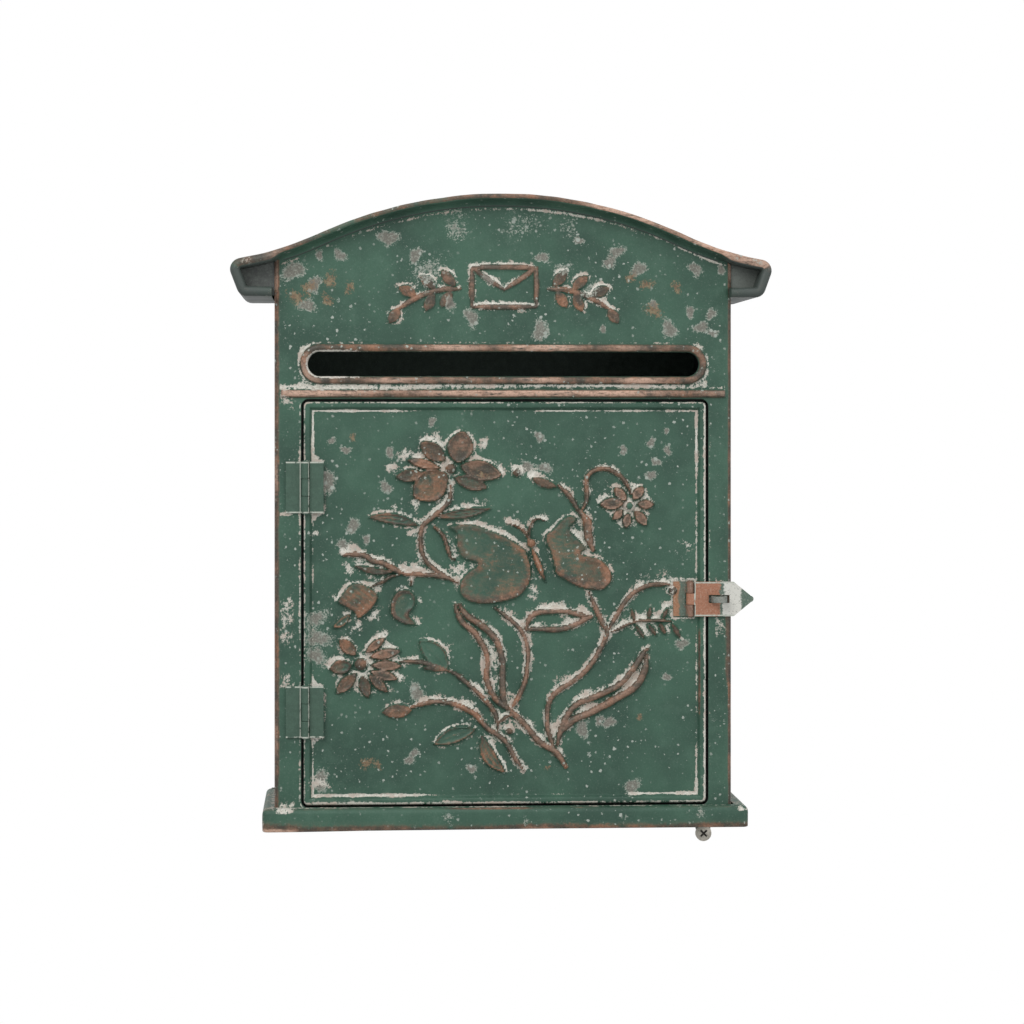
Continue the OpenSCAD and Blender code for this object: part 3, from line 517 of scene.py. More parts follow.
door = {
    "cornerR": 2.5, "foldR": 1.1, "border": 3.0, "slopeEnd": 4.5, "fieldDrop": 2.2,
    "edgeStep": 0.36, "fieldStep": 0.76, "backDepth": 3.0,
    "stemHeight": 2.5,
    # curves from the middle of the door: width, then points
    "stems": [
        (3.0, [(-28.5, 61), (-29, 54), (-32, 49.5), (-38, 44.5), (-42.5, 40.5), (-44, 36), (-44, 30), (-42.5, 24),
               (-38.5, 19), (-34, 15.5), (-29.5, 13), (-25, 10.5)]),
        (3.0, [(-25, 10.5), (-30, 13), (-38.5, 14.5), (-44.5, 15), (-50, 15), (-55, 15.5)]),
        (2.2, [(-55, 15), (-60, 13.5), (-64, 11), (-70, 8.5)]),
        (3.6, [(-84, 25), (-79.5, 25.5), (-72.5, 24.5), (-69, 22), (-64, 21), (-60, 19), (-55.5, 16.5), (-51, 15)]),
        (2.2, [(-48.5, 14.5), (-49, 9)]),
        (2.8, [(-55, -30.5), (-49, -30), (-44, -30.5), (-36, -33), (-30, -35)]),
        (3.0, [(-30, -35), (-25.5, -37), (-20, -41.5), (-15, -46), (-10.5, -50.5), (-6.5, -55.5), (-4.5, -60), (-4, -66)]),
        (3.2, [(-49, -54), (-41, -51.5), (-34.5, -51), (-28, -52), (-21.5, -54.5), (-16, -57.5), (-12, -62),
               (-8, -66), (-4, -68.5), (0.5, -72.5), (3, -77), (5.5, -81.5), (9.5, -87)]),
        (3.6, [(-26, -1), (-25, -5), (-22, -10.5), (-16.5, -15), (-13, -20), (-10, -26), (-9.5, -32), (-10, -38),
               (-8, -45), (-4, -51), (0.5, -55)]),
        (4.0, [(-24, -1), (-20, -6.5), (-14, -10.5), (-8.5, -15), (-4.5, -20), (-2.5, -26), (-1.5, -32),
               (-1.7, -38), (-1.5, -44), (-1, -50), (1, -54)]),
        (3.0, [(-5.5, -2.5), (1, -7.5), (7, -13), (10, -18), (11.5, -24.5), (11.5, -31), (10.5, -39), (8.5, -45),
               (5.5, -51), (2.5, -55)]),
        (3.8, [(1, -54.5), (5.5, -58.5), (10, -63), (13.5, -67.5), (17.5, -72), (22, -75), (25, -76.5),
               (28.5, -80.5), (31.5, -85.5)]),
        (3.0, [(-4, -62.5), (0.5, -59), (4, -58)]),
        (3.3, [(43.5, 5), (47, -3), (50.5, -10.5), (53, -15), (51.5, -20), (49, -24.5), (46, -30), (42.5, -34.5),
               (39.5, -37.5), (34, -41.5), (29, -44.5), (24, -49), (22, -54.5), (21.5, -60), (22, -66), (24, -72),
               (25, -76)]),
        (3.0, [(53, -15), (56, -10), (59.5, -4), (63.5, 2), (69, 6.5), (75.5, 9), (82, 9.5), (86.5, 9)]),
        (2.2, [(53, -16), (58.5, -14), (64.5, -11), (71, -9.5), (79, -9.5), (86, -10)]),
        (3.8, [(27, -74), (28, -69), (31, -60.5), (37, -53), (49, -48), (59.5, -42.5), (67, -34), (72, -26), (74, -24.5)]),
        (4.5, [(28, -68), (33, -63), (36, -60.5), (45.5, -56.5), (57.5, -50), (68, -43.5), (72.5, -35), (73.5, -28)]),
        (3.5, [(10.5, -14), (12.5, -8), (17, -5), (24, -4.5), (31, -4.5), (37.5, -6), (45, -7.5)]),
        (3.5, [(10.5, -14), (17, -13.5), (26, -14), (32, -13), (36, -11.5), (40, -9.5), (45, -7.5)]),
        (2.8, [(39.5, 47.5), (42, 52.5), (42.5, 56.5), (42, 60), (42, 64), (44.5, 67.5), (48.5, 69.5), (53, 69.5),
               (57.5, 67.5), (61.5, 64), (64, 60), (65.5, 56.5)]),
        (3.0, [(27.5, 61), (31.5, 57.5), (35, 53), (37.5, 48.5), (39.5, 46.5)]),
        (5.2, [(39, 47), (42.5, 42), (43, 35), (45.5, 27.5)]),
        (1.8, [(12, 31), (11.5, 34), (9.5, 37.5), (5.5, 40), (1, 41.5)]),
        (1.8, [(13, 31), (12.5, 38), (14, 42), (17, 43.5), (20.5, 42.5)]),
        (2.4, [(-37, 39.5), (-32.5, 35), (-30.5, 30), (-28.5, 24), (-26.5, 22.5)]),
    ],
    # leaves: base, tip, width, bow, share of hollow, wear of the middle
    "leaves": [
        ((-44.5, 40), (-72, 44.5), 7.0, -1.4, 0.45, 0.35), ((-38, 44.5), (-6, 49.5), 6.4, -0.8, 0.5, 0.3),
        ((-56, 16.5), (-80, 20), 5.0, 1.6, 0.3, 0.5), ((-15, -65.5), (-37.5, -73.5), 9.5, -1.0, 0.55, 0.1),
        ((-12.5, -67.5), (0.5, -88.5), 8.5, -3.0, 0.4, 0.3), ((-30, -35), (-45, -19), 12.0, -1.0, 0.5, 0.1),
        ((-30, -35.5), (-45, -34), 4.4, -1.0, 0.2, 0.5), ((27.5, 60), (13, 65), 6.2, 0.6, 0.1, 0.7),
        ((-48, -55.5), (-64.5, -56.5), 8.6, 0.0, 0.1, 0.8),
        ((67.5, -10.5), (65.5, -3), 3.6, 0.0, 0.0, 0.4), ((74.5, -9.5), (75.5, -1.5), 3.8, 0.0, 0.0, 0.4),
        ((81.5, -9.5), (85, -2), 3.8, 0.0, 0.0, 0.4), ((67, -11), (73, -19.5), 4.0, 0.0, 0.0, 0.5),
        ((73.5, -10.5), (79, -18), 4.0, 0.0, 0.0, 0.5), ((79.5, -10), (84, -17.5), 4.0, 0.0, 0.0, 0.5),
        ((86.5, -10.5), (91.5, -19.5), 4.2, 0.0, 0.0, 0.8), ((-80, -5), (-90, -13), 5.5, 0.8, 0.6, 0.05),
    ],
    # petals: base, tip, width, share of hollow, wear of the middle
    "petals": [
        ((-25, 72), (-22, 89.5), 15.0, 0.35, 0.75), ((-24, 71), (-1.5, 66), 12.0, 0.3, 0.85),
        ((-31, 73.5), (-44.5, 83.5), 10.5, 0.4, 0.6), ((-33, 69.5), (-52, 74.5), 6.4, 0.2, 0.9),
        ((-42, 67), (-57.5, 65), 8.0, 0.3, 0.6), ((-30, 67), (-48, 54.5), 18.0, 0.4, 0.5),
        ((-27, 65), (-9, 59.5), 9.0, 0.4, 0.5),
        ((62, 51.5), (48.5, 51), 8.0, 0.2, 0.9), ((63, 52.5), (56.5, 60), 7.0, 0.2, 0.9),
        ((66, 53), (72, 60.5), 7.0, 0.2, 0.9), ((68, 51), (78, 50.8), 6.5, 0.2, 0.9),
        ((67, 48), (74, 39.5), 7.0, 0.2, 0.9), ((64, 47), (62.5, 38), 6.5, 0.2, 0.9),
        ((61.5, 48.5), (55.5, 42.5), 5.8, 0.2, 0.9),
        ((-71, -28), (-53.5, -24.5), 7.0, 0.1, 0.9), ((-70.5, -32), (-53, -32.5), 7.0, 0.1, 0.9),
        ((-71, -35), (-55, -39.5), 6.8, 0.1, 0.9), ((-73, -26), (-62, -17.5), 6.0, 0.2, 0.8),
        ((-77, -27), (-86.5, -18.5), 8.0, 0.3, 0.5), ((-79, -32), (-91.5, -34), 9.0, 0.4, 0.4),
        ((-77, -36), (-88, -47), 8.0, 0.3, 0.7), ((-74.5, -37), (-71, -49.5), 7.5, 0.3, 0.6),
        ((-71.5, -36.5), (-60.5, -46.5), 6.5, 0.2, 0.8),
    ],
    "buttons": [((-28.4, 69.6), 3.0), ((64.5, 50.2), 3.0), ((-75, -31.5), 3.6), ((6, 67.5), 2.4), ((2, -66.5), 2.1),
                ((87.2, 6), 2.6), ((13.5, 31), 2.4)],
    "leftWing": [(-30, 40), (-22.5, 41.5), (-16, 41), (-10, 39), (0, 35), (9.5, 29), (11.5, 26.5), (13.5, 20),
                 (14, 17), (13.5, 11.5), (11, 6.5), (7, 2.5), (1, 0.5), (-3.5, -0.5), (-7, -1), (-14, -1), (-20, 0.5),
                 (-24, 4.5), (-24.5, 9), (-22.5, 13.5), (-18.5, 17.5), (-15, 20), (-22, 22.5), (-25, 26.5),
                 (-26, 31), (-26, 35.5), (-29, 38)],
    "rightWing": [(20.5, 35.5), (25, 39), (29, 43.5), (33, 45.5), (36, 45.5), (37.5, 43.5), (36.5, 41), (34.5, 39.5),
                  (34, 37.5), (36, 35), (40, 31.5), (42.5, 29), (42, 27), (40, 25.5), (44, 24.5), (48.5, 23.5),
                  (52, 21), (55, 17), (56, 12.5), (54, 8.5), (50.5, 6), (45, 6), (39.5, 7), (33.5, 9.5), (28.5, 12.5),
                  (25.5, 15), (24.5, 19.5), (23, 25), (20.5, 31)],
    "bigBud": [(-87.5, 0.5), (-85, 5), (-81, 10), (-75.5, 11), (-71, 9), (-66.5, 6), (-65.5, 2.5), (-68, -2),
               (-72, -6), (-76.5, -8.5), (-79, -5), (-83, -2.5)],
    "hookLeaf": [(-51, 7.5), (-55.5, 7), (-58.5, 4), (-60, 0), (-60.3, -4.5), (-58.5, -8), (-55, -10.5), (-50.5, -12),
                 (-45.5, -11.8), (-47.2, -8.6), (-49.5, -6), (-47, -3), (-45.8, 1), (-47.2, 5.5)],
    # blooms of lost paint, chipped patches and rust: x, z, radius, and a strength where it isn't full
    "blooms": [(-98, -8, 7, 0.8), (-97, -18, 8, 0.8), (-98, -27, 7, 0.8), (-92, 63, 6.5), (-79, 40, 4.6), (-90, 84, 2.4),
               (-82.5, 79, 3), (-62, 60, 4), (-60, 78, 3.4), (-38, 94, 3),
               (10.5, 70, 5), (20.5, 70, 4), (17.5, 86, 3.4), (61.5, 79, 3), (76, 83, 3), (76, 66, 3.4), (78.5, 73, 3),
               (84.5, 79, 3), (84, 89, 2), (-47, -77.5, 3.2), (-49.7, -81.5, 3.4), (-17.6, -86, 3.2), (-46, -46.5, 5.5),
               (-96, -92, 6), (66, -96, 5), (-88, 74, 17, 0.2), (80, 76, 19, 0.22), (94, 22, 13, 0.2), (-90, -10, 14, 0.18),
               (60, -55, 13, 0.2), (-40, 66, 20, 0.2), (55, -78, 14, 0.18), (40, -66, 5), (49, -61.5, 3.2), (54, -62.5, 4),
               (-60, -20, 14, 0.18), (52, 62, 14, 0.2), (15, 58, 14, 0.16), (-20, -80, 15, 0.14), (92, -22, 4),
               (84, -39, 3), (-84, 30, 4), (-72, 33, 3)],
    "scuffs": [(-24.5, 17, 6.5), (-52, 77, 5.5), (-59, 70, 4.5), (-81, 18, 5), (-66, 9, 4.5), (-68, -6, 4.5),
               (-88, 3, 3.5), (-44.5, 2, 2.5), (-11, 82, 4), (-46.5, 51.5, 4.5), (-15, 52, 4.5), (-48, 36, 3.2), (-57, 49, 3.6),
               (14.5, 5.5, 4.5), (-77, -12.5, 4), (-86, -36, 4.5), (88, 10, 7), (92, -4, 6), (84, -14, 4), (-99, 36, 3),
               (-95, -92, 6), (95, 30, 4), (-70, 17, 5), (-36, 84, 5)],
    "butterfly": ((12.5, 31), (21.3, 9.5), 4.4),     # its body: head, tail, width
    "flower": (64.5, 50.2),              # the drooping flower's middle
    "edgeWidth": 7.2,                    # close grid lines run this far in from each side
    "crowdSteps": 26,                    # rounds of blurring that find the corners between forms
    "rusts": [(-72, -83, 3.4), (-12, 66, 2.6), (-66, -84, 2.2), (-79, 86, 2.0), (70, -60, 1.8), (22, -86, 1.6)],
}


def spots(x, z, listed, seed):
    # 1 at a spot's middle, 0 at its uneven edge
    out = np.zeros(x.shape)
    for k, (cx, cz, r, *full) in enumerate(listed):
        dx, dz = x - cx, z - cz
        near = (np.abs(dx) < 2 * r) & (np.abs(dz) < 2 * r)
        angle = np.arctan2(dz, dx)
        edge = r * (1 + 0.22 * np.sin(2 * angle + k * 1.3 + seed) + 0.14 * np.sin(3 * angle + k * 2.1))
        spot = np.clip(1.25 - np.hypot(dx, dz) / edge, 0, 1) * (full[0] if full else 1)
        out = np.where(near, np.maximum(out, spot), out)
    return out


def rectLines(x, z, cx, cz, halfW, halfH, width):
    # 1 on the outline of a rectangle, falling off over width
    return np.exp(-(np.abs(roundRect(x - cx, z - cz, halfW, halfH, 0.6) - 0.4) / width) ** 2)


def buildDoor():
    cx, cz = (doorLow[0] + doorHigh[0]) / 2, (doorLow[2] + doorHigh[2]) / 2
    halfW, halfH = (doorHigh[0] - doorLow[0]) / 2, (doorHigh[2] - doorLow[2]) / 2

    def lines(half):
        # close lines across the border, wider ones over the field
        edge = np.arange(0, door["edgeWidth"], door["edgeStep"])
        inner = half - edge[-1]
        n = int(round(2 * inner / door["fieldStep"]))
        return np.concatenate([-half + edge, np.linspace(-inner, inner, n + 1)[1:-1], (half - edge)[::-1]])

    x, z = np.meshgrid(lines(halfW), lines(halfH), indexing="ij")
    field = Field(x, z)
    for width, points in door["stems"]:
        field.ridge(points, width, door["stemHeight"] * (0.75 + 0.08 * width))
    for base, tip, width, bow, hollow, core in door["leaves"]:
        # a green-hearted leaf has a faint vein and less wear
        rib, wear = (0.4, 0.7) if core < 0.2 else (0.8, 0.95)
        field.leaf(base, tip, width, bow, hollow=hollow, core=core, rib=rib, wear=wear)
    for base, tip, width, hollow, core in door["petals"]:
        field.leaf(base, tip, width, 0, height=2.6, hollow=hollow, core=core, rim=1.5, rib=0.6, wear=1.08)
    for centre, radius in door["buttons"]:
        field.button(centre, radius, 3.0)
    where, inside = field.outline(door["bigBud"], height=2.8, hollow=0.12, core=0.8)
    # slanting ribs pressed across the big bud
    rib = np.sin((field.x[where] * 0.75 + field.z[where]) * 2 * math.pi / 3.1) * ease(0.8, 2.2, inside)
    field.height[where] += 0.22 * rib
    field.worn[where] += 0.22 * rib
    field.fade(where, inside, 0.5 + 0.3 * ease(7, -3, field.z[where]))
    where, inside = field.outline(door["hookLeaf"], height=2.4, hollow=0.4, core=0.25, rim=2.0)
    field.fade(where, inside, 0.6 + 0.45 * ease(-47, -54, field.x[where]))
    for wing in ("leftWing", "rightWing"):
        # the rims are rubbed most low down and towards the right
        where, inside = field.outline(door[wing], height=2.5, hollow=0.2, core=0.55, rim=3.0)
        field.fade(where, inside, 0.5 + 0.5 * ease(-14, 4, field.x[where] * 0.3 - field.z[where]))
    field.leaf(*door["butterfly"], height=3.1, hollow=0, core=1, rib=0)

    # the square grid's corners are pulled onto the round outline
    r = door["cornerR"]
    qx, qz = np.abs(x) - halfW + r, np.abs(z) - halfH + r
    corner = (qx > 0) & (qz > 0)
    pull = np.where(corner, np.maximum(qx, qz) / np.maximum(np.hypot(qx, qz), 1e-9), 1)
    px = np.where(corner, np.sign(x) * (halfW - r + qx * pull), x)
    pz = np.where(corner, np.sign(z) * (halfH - r + qz * pull), z)
    d = -roundRect(px, pz, halfW, halfH, r)

    fold = door["foldR"]
    rim = -(fold - np.sqrt(np.clip(fold ** 2 - np.clip(fold - d, 0, fold) ** 2, 0, None)))
    crown = 0.12 * np.sin(np.pi * np.clip(d / door["border"], 0, 1))
    step = ease(door["border"] - 0.2, door["slopeEnd"], d + 0.12 * wave(px, pz, 34, 3))
    relief = field.height * ease(3.0, 5.4, d)
    uneven = 0.22 * wave(px, pz, 70, 1) + 0.1 * wave(px, pz, 27, 2)
    height = rim + crown - door["fieldDrop"] * step + relief + uneven * step
    y = faceY - height

    # marks: copper on the crests, cream at the feet of relief and border, most of it
    # above a form and in the corners between forms
    gap = field.gap
    above = np.gradient(np.minimum(gap, 9), axis=1) / np.maximum(np.gradient(pz, axis=1), 0.05)
    crowd = (gap < 0) * 1.0
    for k in range(door["crowdSteps"]):
        beside = np.roll(crowd, 1, 0) + np.roll(crowd, -1, 0) + np.roll(crowd, 1, 1) + np.roll(crowd, -1, 1)
        crowd = (crowd + beside) / 5
    patchy = wave(px, pz, 26, 9)
    bold = np.clip(0.2 + 0.45 * above + 0.75 * patchy, 0, 1)
    wide = 0.5 + 1.2 * bold + 2.0 * bold ** 3
    foot = (0.35 + 0.28 * above + 0.55 * patchy + 0.2 * wave(px, pz, 9, 4)) * np.exp(
        -(np.maximum(gap - 0.1, 0) / wide) ** 1.6)
    corner = ease(0.2, 0.42, crowd + 0.08 * wave(px, pz, 19, 3)) * ease(6, 1.5, gap)
    corner = 0.66 * corner * np.clip(0.62 + 0.7 * wave(px, pz, 37, 6) + 0.3 * above, 0, 1.3)
    foot = np.maximum(foot, corner) * (gap > -0.45)

    # a broken line inside the border, stronger along some stretches of each side
    inner = np.abs(d - door["slopeEnd"] - 0.3)
    sideX, sideZ = np.abs(px) / halfW, np.abs(pz) / halfH
    top = (pz > 0) * (sideZ > sideX)
    bottom = (pz < 0) * (sideZ > sideX)
    left = (px < 0) * (sideX >= sideZ)
    right = (px > 0) * (sideX >= sideZ)
    strength = top * (0.22 + 0.75 * ease(-46, -62, px) + 0.55 * ease(12, 22, px))
    strength += bottom * (0.12 + 0.85 * ease(-34, -44, px) + 0.85 * ease(60, 67, px))
    strength += left * (0.42 + 0.65 * ease(66, 72, pz) + 0.5 * ease(-70, -95, pz))
    strength += right * (0.5 + 0.35 * ease(-60, -90, pz) + 0.4 * ease(55, 80, pz))
    strength += 0.3 * wave(px, pz, 45, 4)
    thick = 0.36 + 0.4 * np.clip(strength, 0, 1) * (1 - 0.5 * top) + 0.3 * wave(px, pz, 21, 5)
    foot = np.maximum(foot, strength * np.exp(-(inner / np.maximum(thick, 0.26)) ** 2))
    # and one along the outer fold, chipped primer that on the right side is wider and stronger as a painted highlight
    # on the rounded edge
    outer = np.abs(d - 0.5)
    outerOn = 0.66 + 0.22 * wave(px, pz, 52, 6) + 0.25 * right
    outerWide = 0.4 + 0.5 * right + 0.9 * bottom * ease(10, -40, px) * np.clip(0.6 + wave(px, pz, 30, 3), 0, 1)
    foot = np.maximum(foot, outerOn * np.exp(-((outer - 0.4 * bottom) / outerWide) ** 2))
    # about the hinges and the hasp
    leafEnd = boxOf("upper_hinge_door_leaf")[1][0] - cx
    for hz in hingeZ:
        lz = hz - cz
        wide = (leafEnd + halfW + 4) / 2
        foot = np.maximum(foot, 0.5 * rectLines(px, pz, leafEnd - wide, lz, wide + 0.3, 13.6, 0.5))
        for end in (-1, 1):
            # a chipped triangle in each corner between leaf and border
            out = (pz - lz) * end - 13.2
            wedge = ease(1.6, -1.0, out - 5.5 + 0.75 * (px - leafEnd + 7.5))
            wedge = wedge * (out > -0.2) * (px > -halfW + 4) * (px < leafEnd + 1)
            foot = np.maximum(foot, 0.8 * wedge)
    wide = (leafHigh[0] - leafLow[0]) / 2
    around = rectLines(px, pz, leafLow[0] - cx + wide, haspZ - cz, wide + 0.4, 9.8, 0.7)
    foot = np.maximum(foot, 0.8 * around * (px < halfW - 3))
    foot = np.maximum(foot, 0.6 * spots(px, pz, door["scuffs"], 0.3) * (gap > -0.3))
    worn = field.worn * (1 - ease(0.0, 0.3, gap))
    # copper on the border's inner fold, low on the right
    worn = np.maximum(worn, 0.85 * right * np.exp(-((d - 3.4) / 0.6) ** 2) * ease(-10, -20, pz) * ease(-66, -50, pz))
    # a green dimple with a pale ring in the drooping flower
    dimple = np.hypot(px - door["flower"][0], pz - door["flower"][1])
    worn = worn * ease(1.2, 2.2, dimple)
    foot = np.maximum(foot, 0.9 * np.exp(-((dimple - 2.4) / 0.6) ** 2))
    patch = spots(px, pz, door["blooms"], 0.4)
    rust = spots(px, pz, door["rusts"], 1.1)

    piece = Piece()
    front = np.stack([px + cx, y, pz + cz], -1)
    nu, nv = x.shape
    piece.add(front, quads(nu, nv), worn=worn, foot=foot, patch=patch, rust=rust)

    # turned-back edge and flat back, from the border of the grid
    index = np.arange(nu * nv).reshape(nu, nv)
    loop = np.concatenate([index[:-1, 0], index[-1, :-1], index[1:, -1][::-1], index[0, 1:][::-1]])
    ringX, ringZ = px.ravel()[loop], pz.ravel()[loop]
    nx, nz = ringX - np.clip(ringX, -halfW + r, halfW - r), ringZ - np.clip(ringZ, -halfH + r, halfH - r)
    size = np.maximum(np.hypot(nx, nz), 1e-9)
    nx, nz = nx / size, nz / size
    n = len(loop)
    turns = [(0, 3.6), (0, doorDepth - 0.2), (0.2, doorDepth), (sheet, doorDepth), (sheet, door["backDepth"])]
    rows = [np.stack([ringX - nx * inset + cx, np.full(n, faceY + depth), ringZ - nz * inset + cz], -1)
            for inset, depth in turns]
    m = len(rows)
    start = piece.add(np.stack(rows, 1), quads(n, m, closed=True)[:, ::-1])
    # the grid's own border is the first ring
    step = np.arange(n)
    after = (step + 1) % n
    piece.faces += np.stack([start + step * m, start + after * m, loop[after], loop[step]], -1).tolist()
    piece.faces.append((start + step * m + m - 1)[::-1].tolist())
    return piece.make("doorSkin", "door", ["door_panel"], paint)


body = {
    "foldR": 3.0, "flange": 9.0, "depth": 83.1, "frontStep": 0.75, "rowStep": 0.62,
    "doorRows": 96, "archRows": 112,     # grid rows beside the door, and from the slot to the roof
    "gap": 1.2, "stop": 5.0, "stopDepth": 7.2, "ring": 4.0,
    "slotH": 12.6, "slotMargin": 16.5, "lipR": 2.1, "slotRise": 19.4,
    "ribR": 2.2, "ribRise": 4.2,
    # from the middle of the slot: the envelope, one sprig and its leaflets
    "emblemRise": 40.0, "emblemH": 1.35,
    "envelope": [[(-16.7, -10.2), (16.7, -10.2)], [(-16.7, 10.2), (16.7, 10.2)], [(-16.7, -10.2), (-16.7, 10.2)],
                 [(16.7, -10.2), (16.7, 10.2)], [(-16.5, 10), (-8.5, 4.2), (0, -1.4)], [(16.5, 10), (8.5, 4.2), (0, -1.4)]],
    "sprig": [(23, -1), (33, -1.5), (44, -5), (56, -12)],
    "sprigLeaves": [((25, 0), (33, 9), 6.5), ((27, -2), (33, -11), 6.5), ((35, -1), (44, 6), 6.5),
                    ((36, -3), (41, -13), 6.5), ((45, -4.5), (55, 0), 6.5), ((54, -11), (60, -19), 6.5)],
    # blooms and rust: x, z from bloomZ over the base, radius, and a strength where it isn't full
    "bloomZ": 239.5,
    "blooms": [(-60, 66, 6), (-85, 57, 4), (-95.5, 57, 3), (-46, 57, 4.5), (-108.7, 49, 6.5), (-102, 31, 5),
               (100, 50, 4.5), (113, 50, 3), (55, 54, 4.5), (58.7, 59, 4.5), (38.5, 65, 3), (78, 32, 3), (97, 28, 3.5),
               (108, 27, 3.5), (103, 20, 4.5), (109, 17, 3), (86, 19, 5.5), (51.5, 19, 2.5), (-40, 48, 12, 0.55),
               (8, 73, 15, 0.4), (-25, 79, 12, 0.4), (-17, 25, 5), (19, 18, 6), (45, 39, 7, 0.6), (31, 50, 6, 0.6),
               (-25, 70, 8, 0.6), (34, 72, 8, 0.45), (-98, 42, 5),
               (70, 50, 5), (20, 56, 4), (-8, 45, 4), (-28, 32, 4)],
    "rusts": [(-107, 35, 4.5), (-91.6, 34, 3.2), (-90, 44, 4), (-101, 40, 4), (74, 42.5, 3.4), (78, 28.7, 4.4),
              (90, 41, 3), (-80, 40, 3), (66, 46, 3)],
    # chipped patches on the stiles: x, z, radius
    "scuffs": [(112, -78, 10), (110, -95, 7), (-112, -84, 7), (-113, -92, 6), (-112, -101, 5), (-113, 22, 5),
               (-112, -122, 3.5)],
    "openingR": 3.7,                     # corners of the door's opening
}

# the roof's arc, the flare at each side and the rolled eaves
roofShape = {"crownR": 222.0, "crownAngle": 25.0, "flareAngle": 10.0, "eaveR": 5.6, "eaveH": 19.6, "lean": 20.0,
             "proud": 0.3, "bead": 1.4, "roll": 2.6, "backRows": 32,
             "stretch": 1.0047, "shift": -1.3,       # it isn't quite true: a little longer, and to the left
             # along the roof's line from the left eave, y, radius
             "blooms": [(70, -30, 6), (96, -62, 5), (118, -20, 7), (150, -48, 5), (171, -70, 6), (190, -25, 8),
                        (214, -55, 5), (240, -35, 6), (265, -66, 7), (283, -20, 5), (60, -70, 5), (135, -80, 4),
                        (228, -84, 5), (180, -45, 16, 0.35)],
             "rusts": [(82, -50, 5), (160, -15, 6), (204, -78, 4), (252, -50, 5), (290, -45, 4)]}


def roofPath(step=1.2):
    # outer line of the roof from the left eave's lower lip to the right one, with outward normals
    r = roofShape
    halfW = (roofHigh[0] - roofLow[0]) / 2
    crownR, eaveR, crownAngle, flareAngle = r["crownR"], r["eaveR"], r["crownAngle"], r["flareAngle"]
    crownSin, crownCos = math.sin(math.radians(crownAngle)), math.cos(math.radians(crownAngle))
    flareSin, flareCos = math.sin(math.radians(flareAngle)), math.cos(math.radians(flareAngle))
    crownZ = roofHigh[2] - r["proud"] - crownR
    endX = halfW - r["proud"] - eaveR * (1 - flareSin)
    flareR = (endX - crownR * crownSin) / (crownSin - flareSin)
    flareX, flareZ = (crownR + flareR) * crownSin, crownZ + (crownR + flareR) * crownCos
    endZ = flareZ - flareR * flareCos
    upper = np.array([endX - eaveR * flareSin, endZ - eaveR * flareCos])
    drop = r["eaveH"] - 2 * eaveR
    lower = upper - (drop * math.tan(math.radians(r["lean"])), drop)

    def arc(cx, cz, radius, a0, a1):
        n = max(int(abs(math.radians(a1 - a0)) * radius / step), 4)
        a = np.radians(np.linspace(a0, a1, n + 1))
        normal = np.stack([np.sin(a), np.cos(a)], -1)
        return np.array([cx, cz]) + radius * normal, normal

    # right half, from the crown outwards: angles from straight up
    flare, inward = arc(flareX, flareZ, flareR, 180 + crownAngle, 180 + flareAngle)
    parts = [arc(0, crownZ, crownR, 0, crownAngle), (flare, -inward),
             arc(upper[0], upper[1], eaveR, flareAngle, 90 + r["lean"]),
             arc(lower[0], lower[1], eaveR, 90 + r["lean"], 180)]
    floor = lower[1] - eaveR
    lip = np.array([[lower[0] - 1.5, floor], [halfBody + 0.1, floor]])
    parts.append((lip, np.array([[0, -1], [0, -1]])))
    points, normals = np.vstack([p for p, n in parts]), np.vstack([n for p, n in parts])
    keep = np.concatenate([[True], np.hypot(*np.diff(points, axis=0).T) > 0.05])
    points, normals = points[keep], normals[keep]
    flip = np.array([-1, 1])
    return np.vstack([points[:0:-1] * flip, points]), np.vstack([normals[:0:-1] * flip, normals])


def archZ(x, inset):
    # height over x of the roof's line moved in by inset
    points, normals = roofPath(3.0)
    line = points - normals * inset
    crown = normals[:, 1] > 0.5
    order = np.argsort(line[crown, 0])
    return np.interp(x, line[crown, 0][order], line[crown, 1][order])


def gridLines(*knots):
    # lines between knots, each span divided into the given number of steps
    out = [knots[0]]
    for count, value in zip(knots[1::2], knots[2::2]):
        out += list(np.linspace(out[-1], value, count + 1)[1:])
    return np.array(out)


def spread(x):
    # the side walls bulge a little
    return x + np.sign(x) * 0.7 * ease(109, 117, np.abs(x))


def holeRing(piece, loop, points, toRim, profile, marks):
    # joins the rim of a rectangular hole to an outline: each row of the profile gives a share of the way
    # to the rim or a distance from the outline, and y
    n = len(loop)
    rimX, rimZ = points[:, 0], points[:, 2]
    baseX, baseZ, dirX, dirZ, reach = toRim(rimX, rimZ)
    rows, keys = [], {key: [] for key in piece.marks}
    for share, g, y in profile:
        out = reach * share if g is None else np.full(n, g)
        rows.append(np.stack([spread(baseX + dirX * out), np.full(n, y), baseZ + dirZ * out], -1))
        given = marks(out, y, rows[-1][:, 0], rows[-1][:, 2])
        for key in keys:
            keys[key].append(np.broadcast_to(given.get(key, 0.0), (n,)))
    m = len(rows)
    start = piece.add(np.stack(rows, 1), quads(n, m, closed=True),
                      **{key: np.stack(value, 1) for key, value in keys.items()})
    step = np.arange(n)
    joined = np.stack([loop, loop[(step + 1) % n], start + ((step + 1) % n) * m, start + step * m], -1)
    piece.faces += joined.tolist()


roofInset = 0.95                         # the body's top edge lies within the roof's sheet


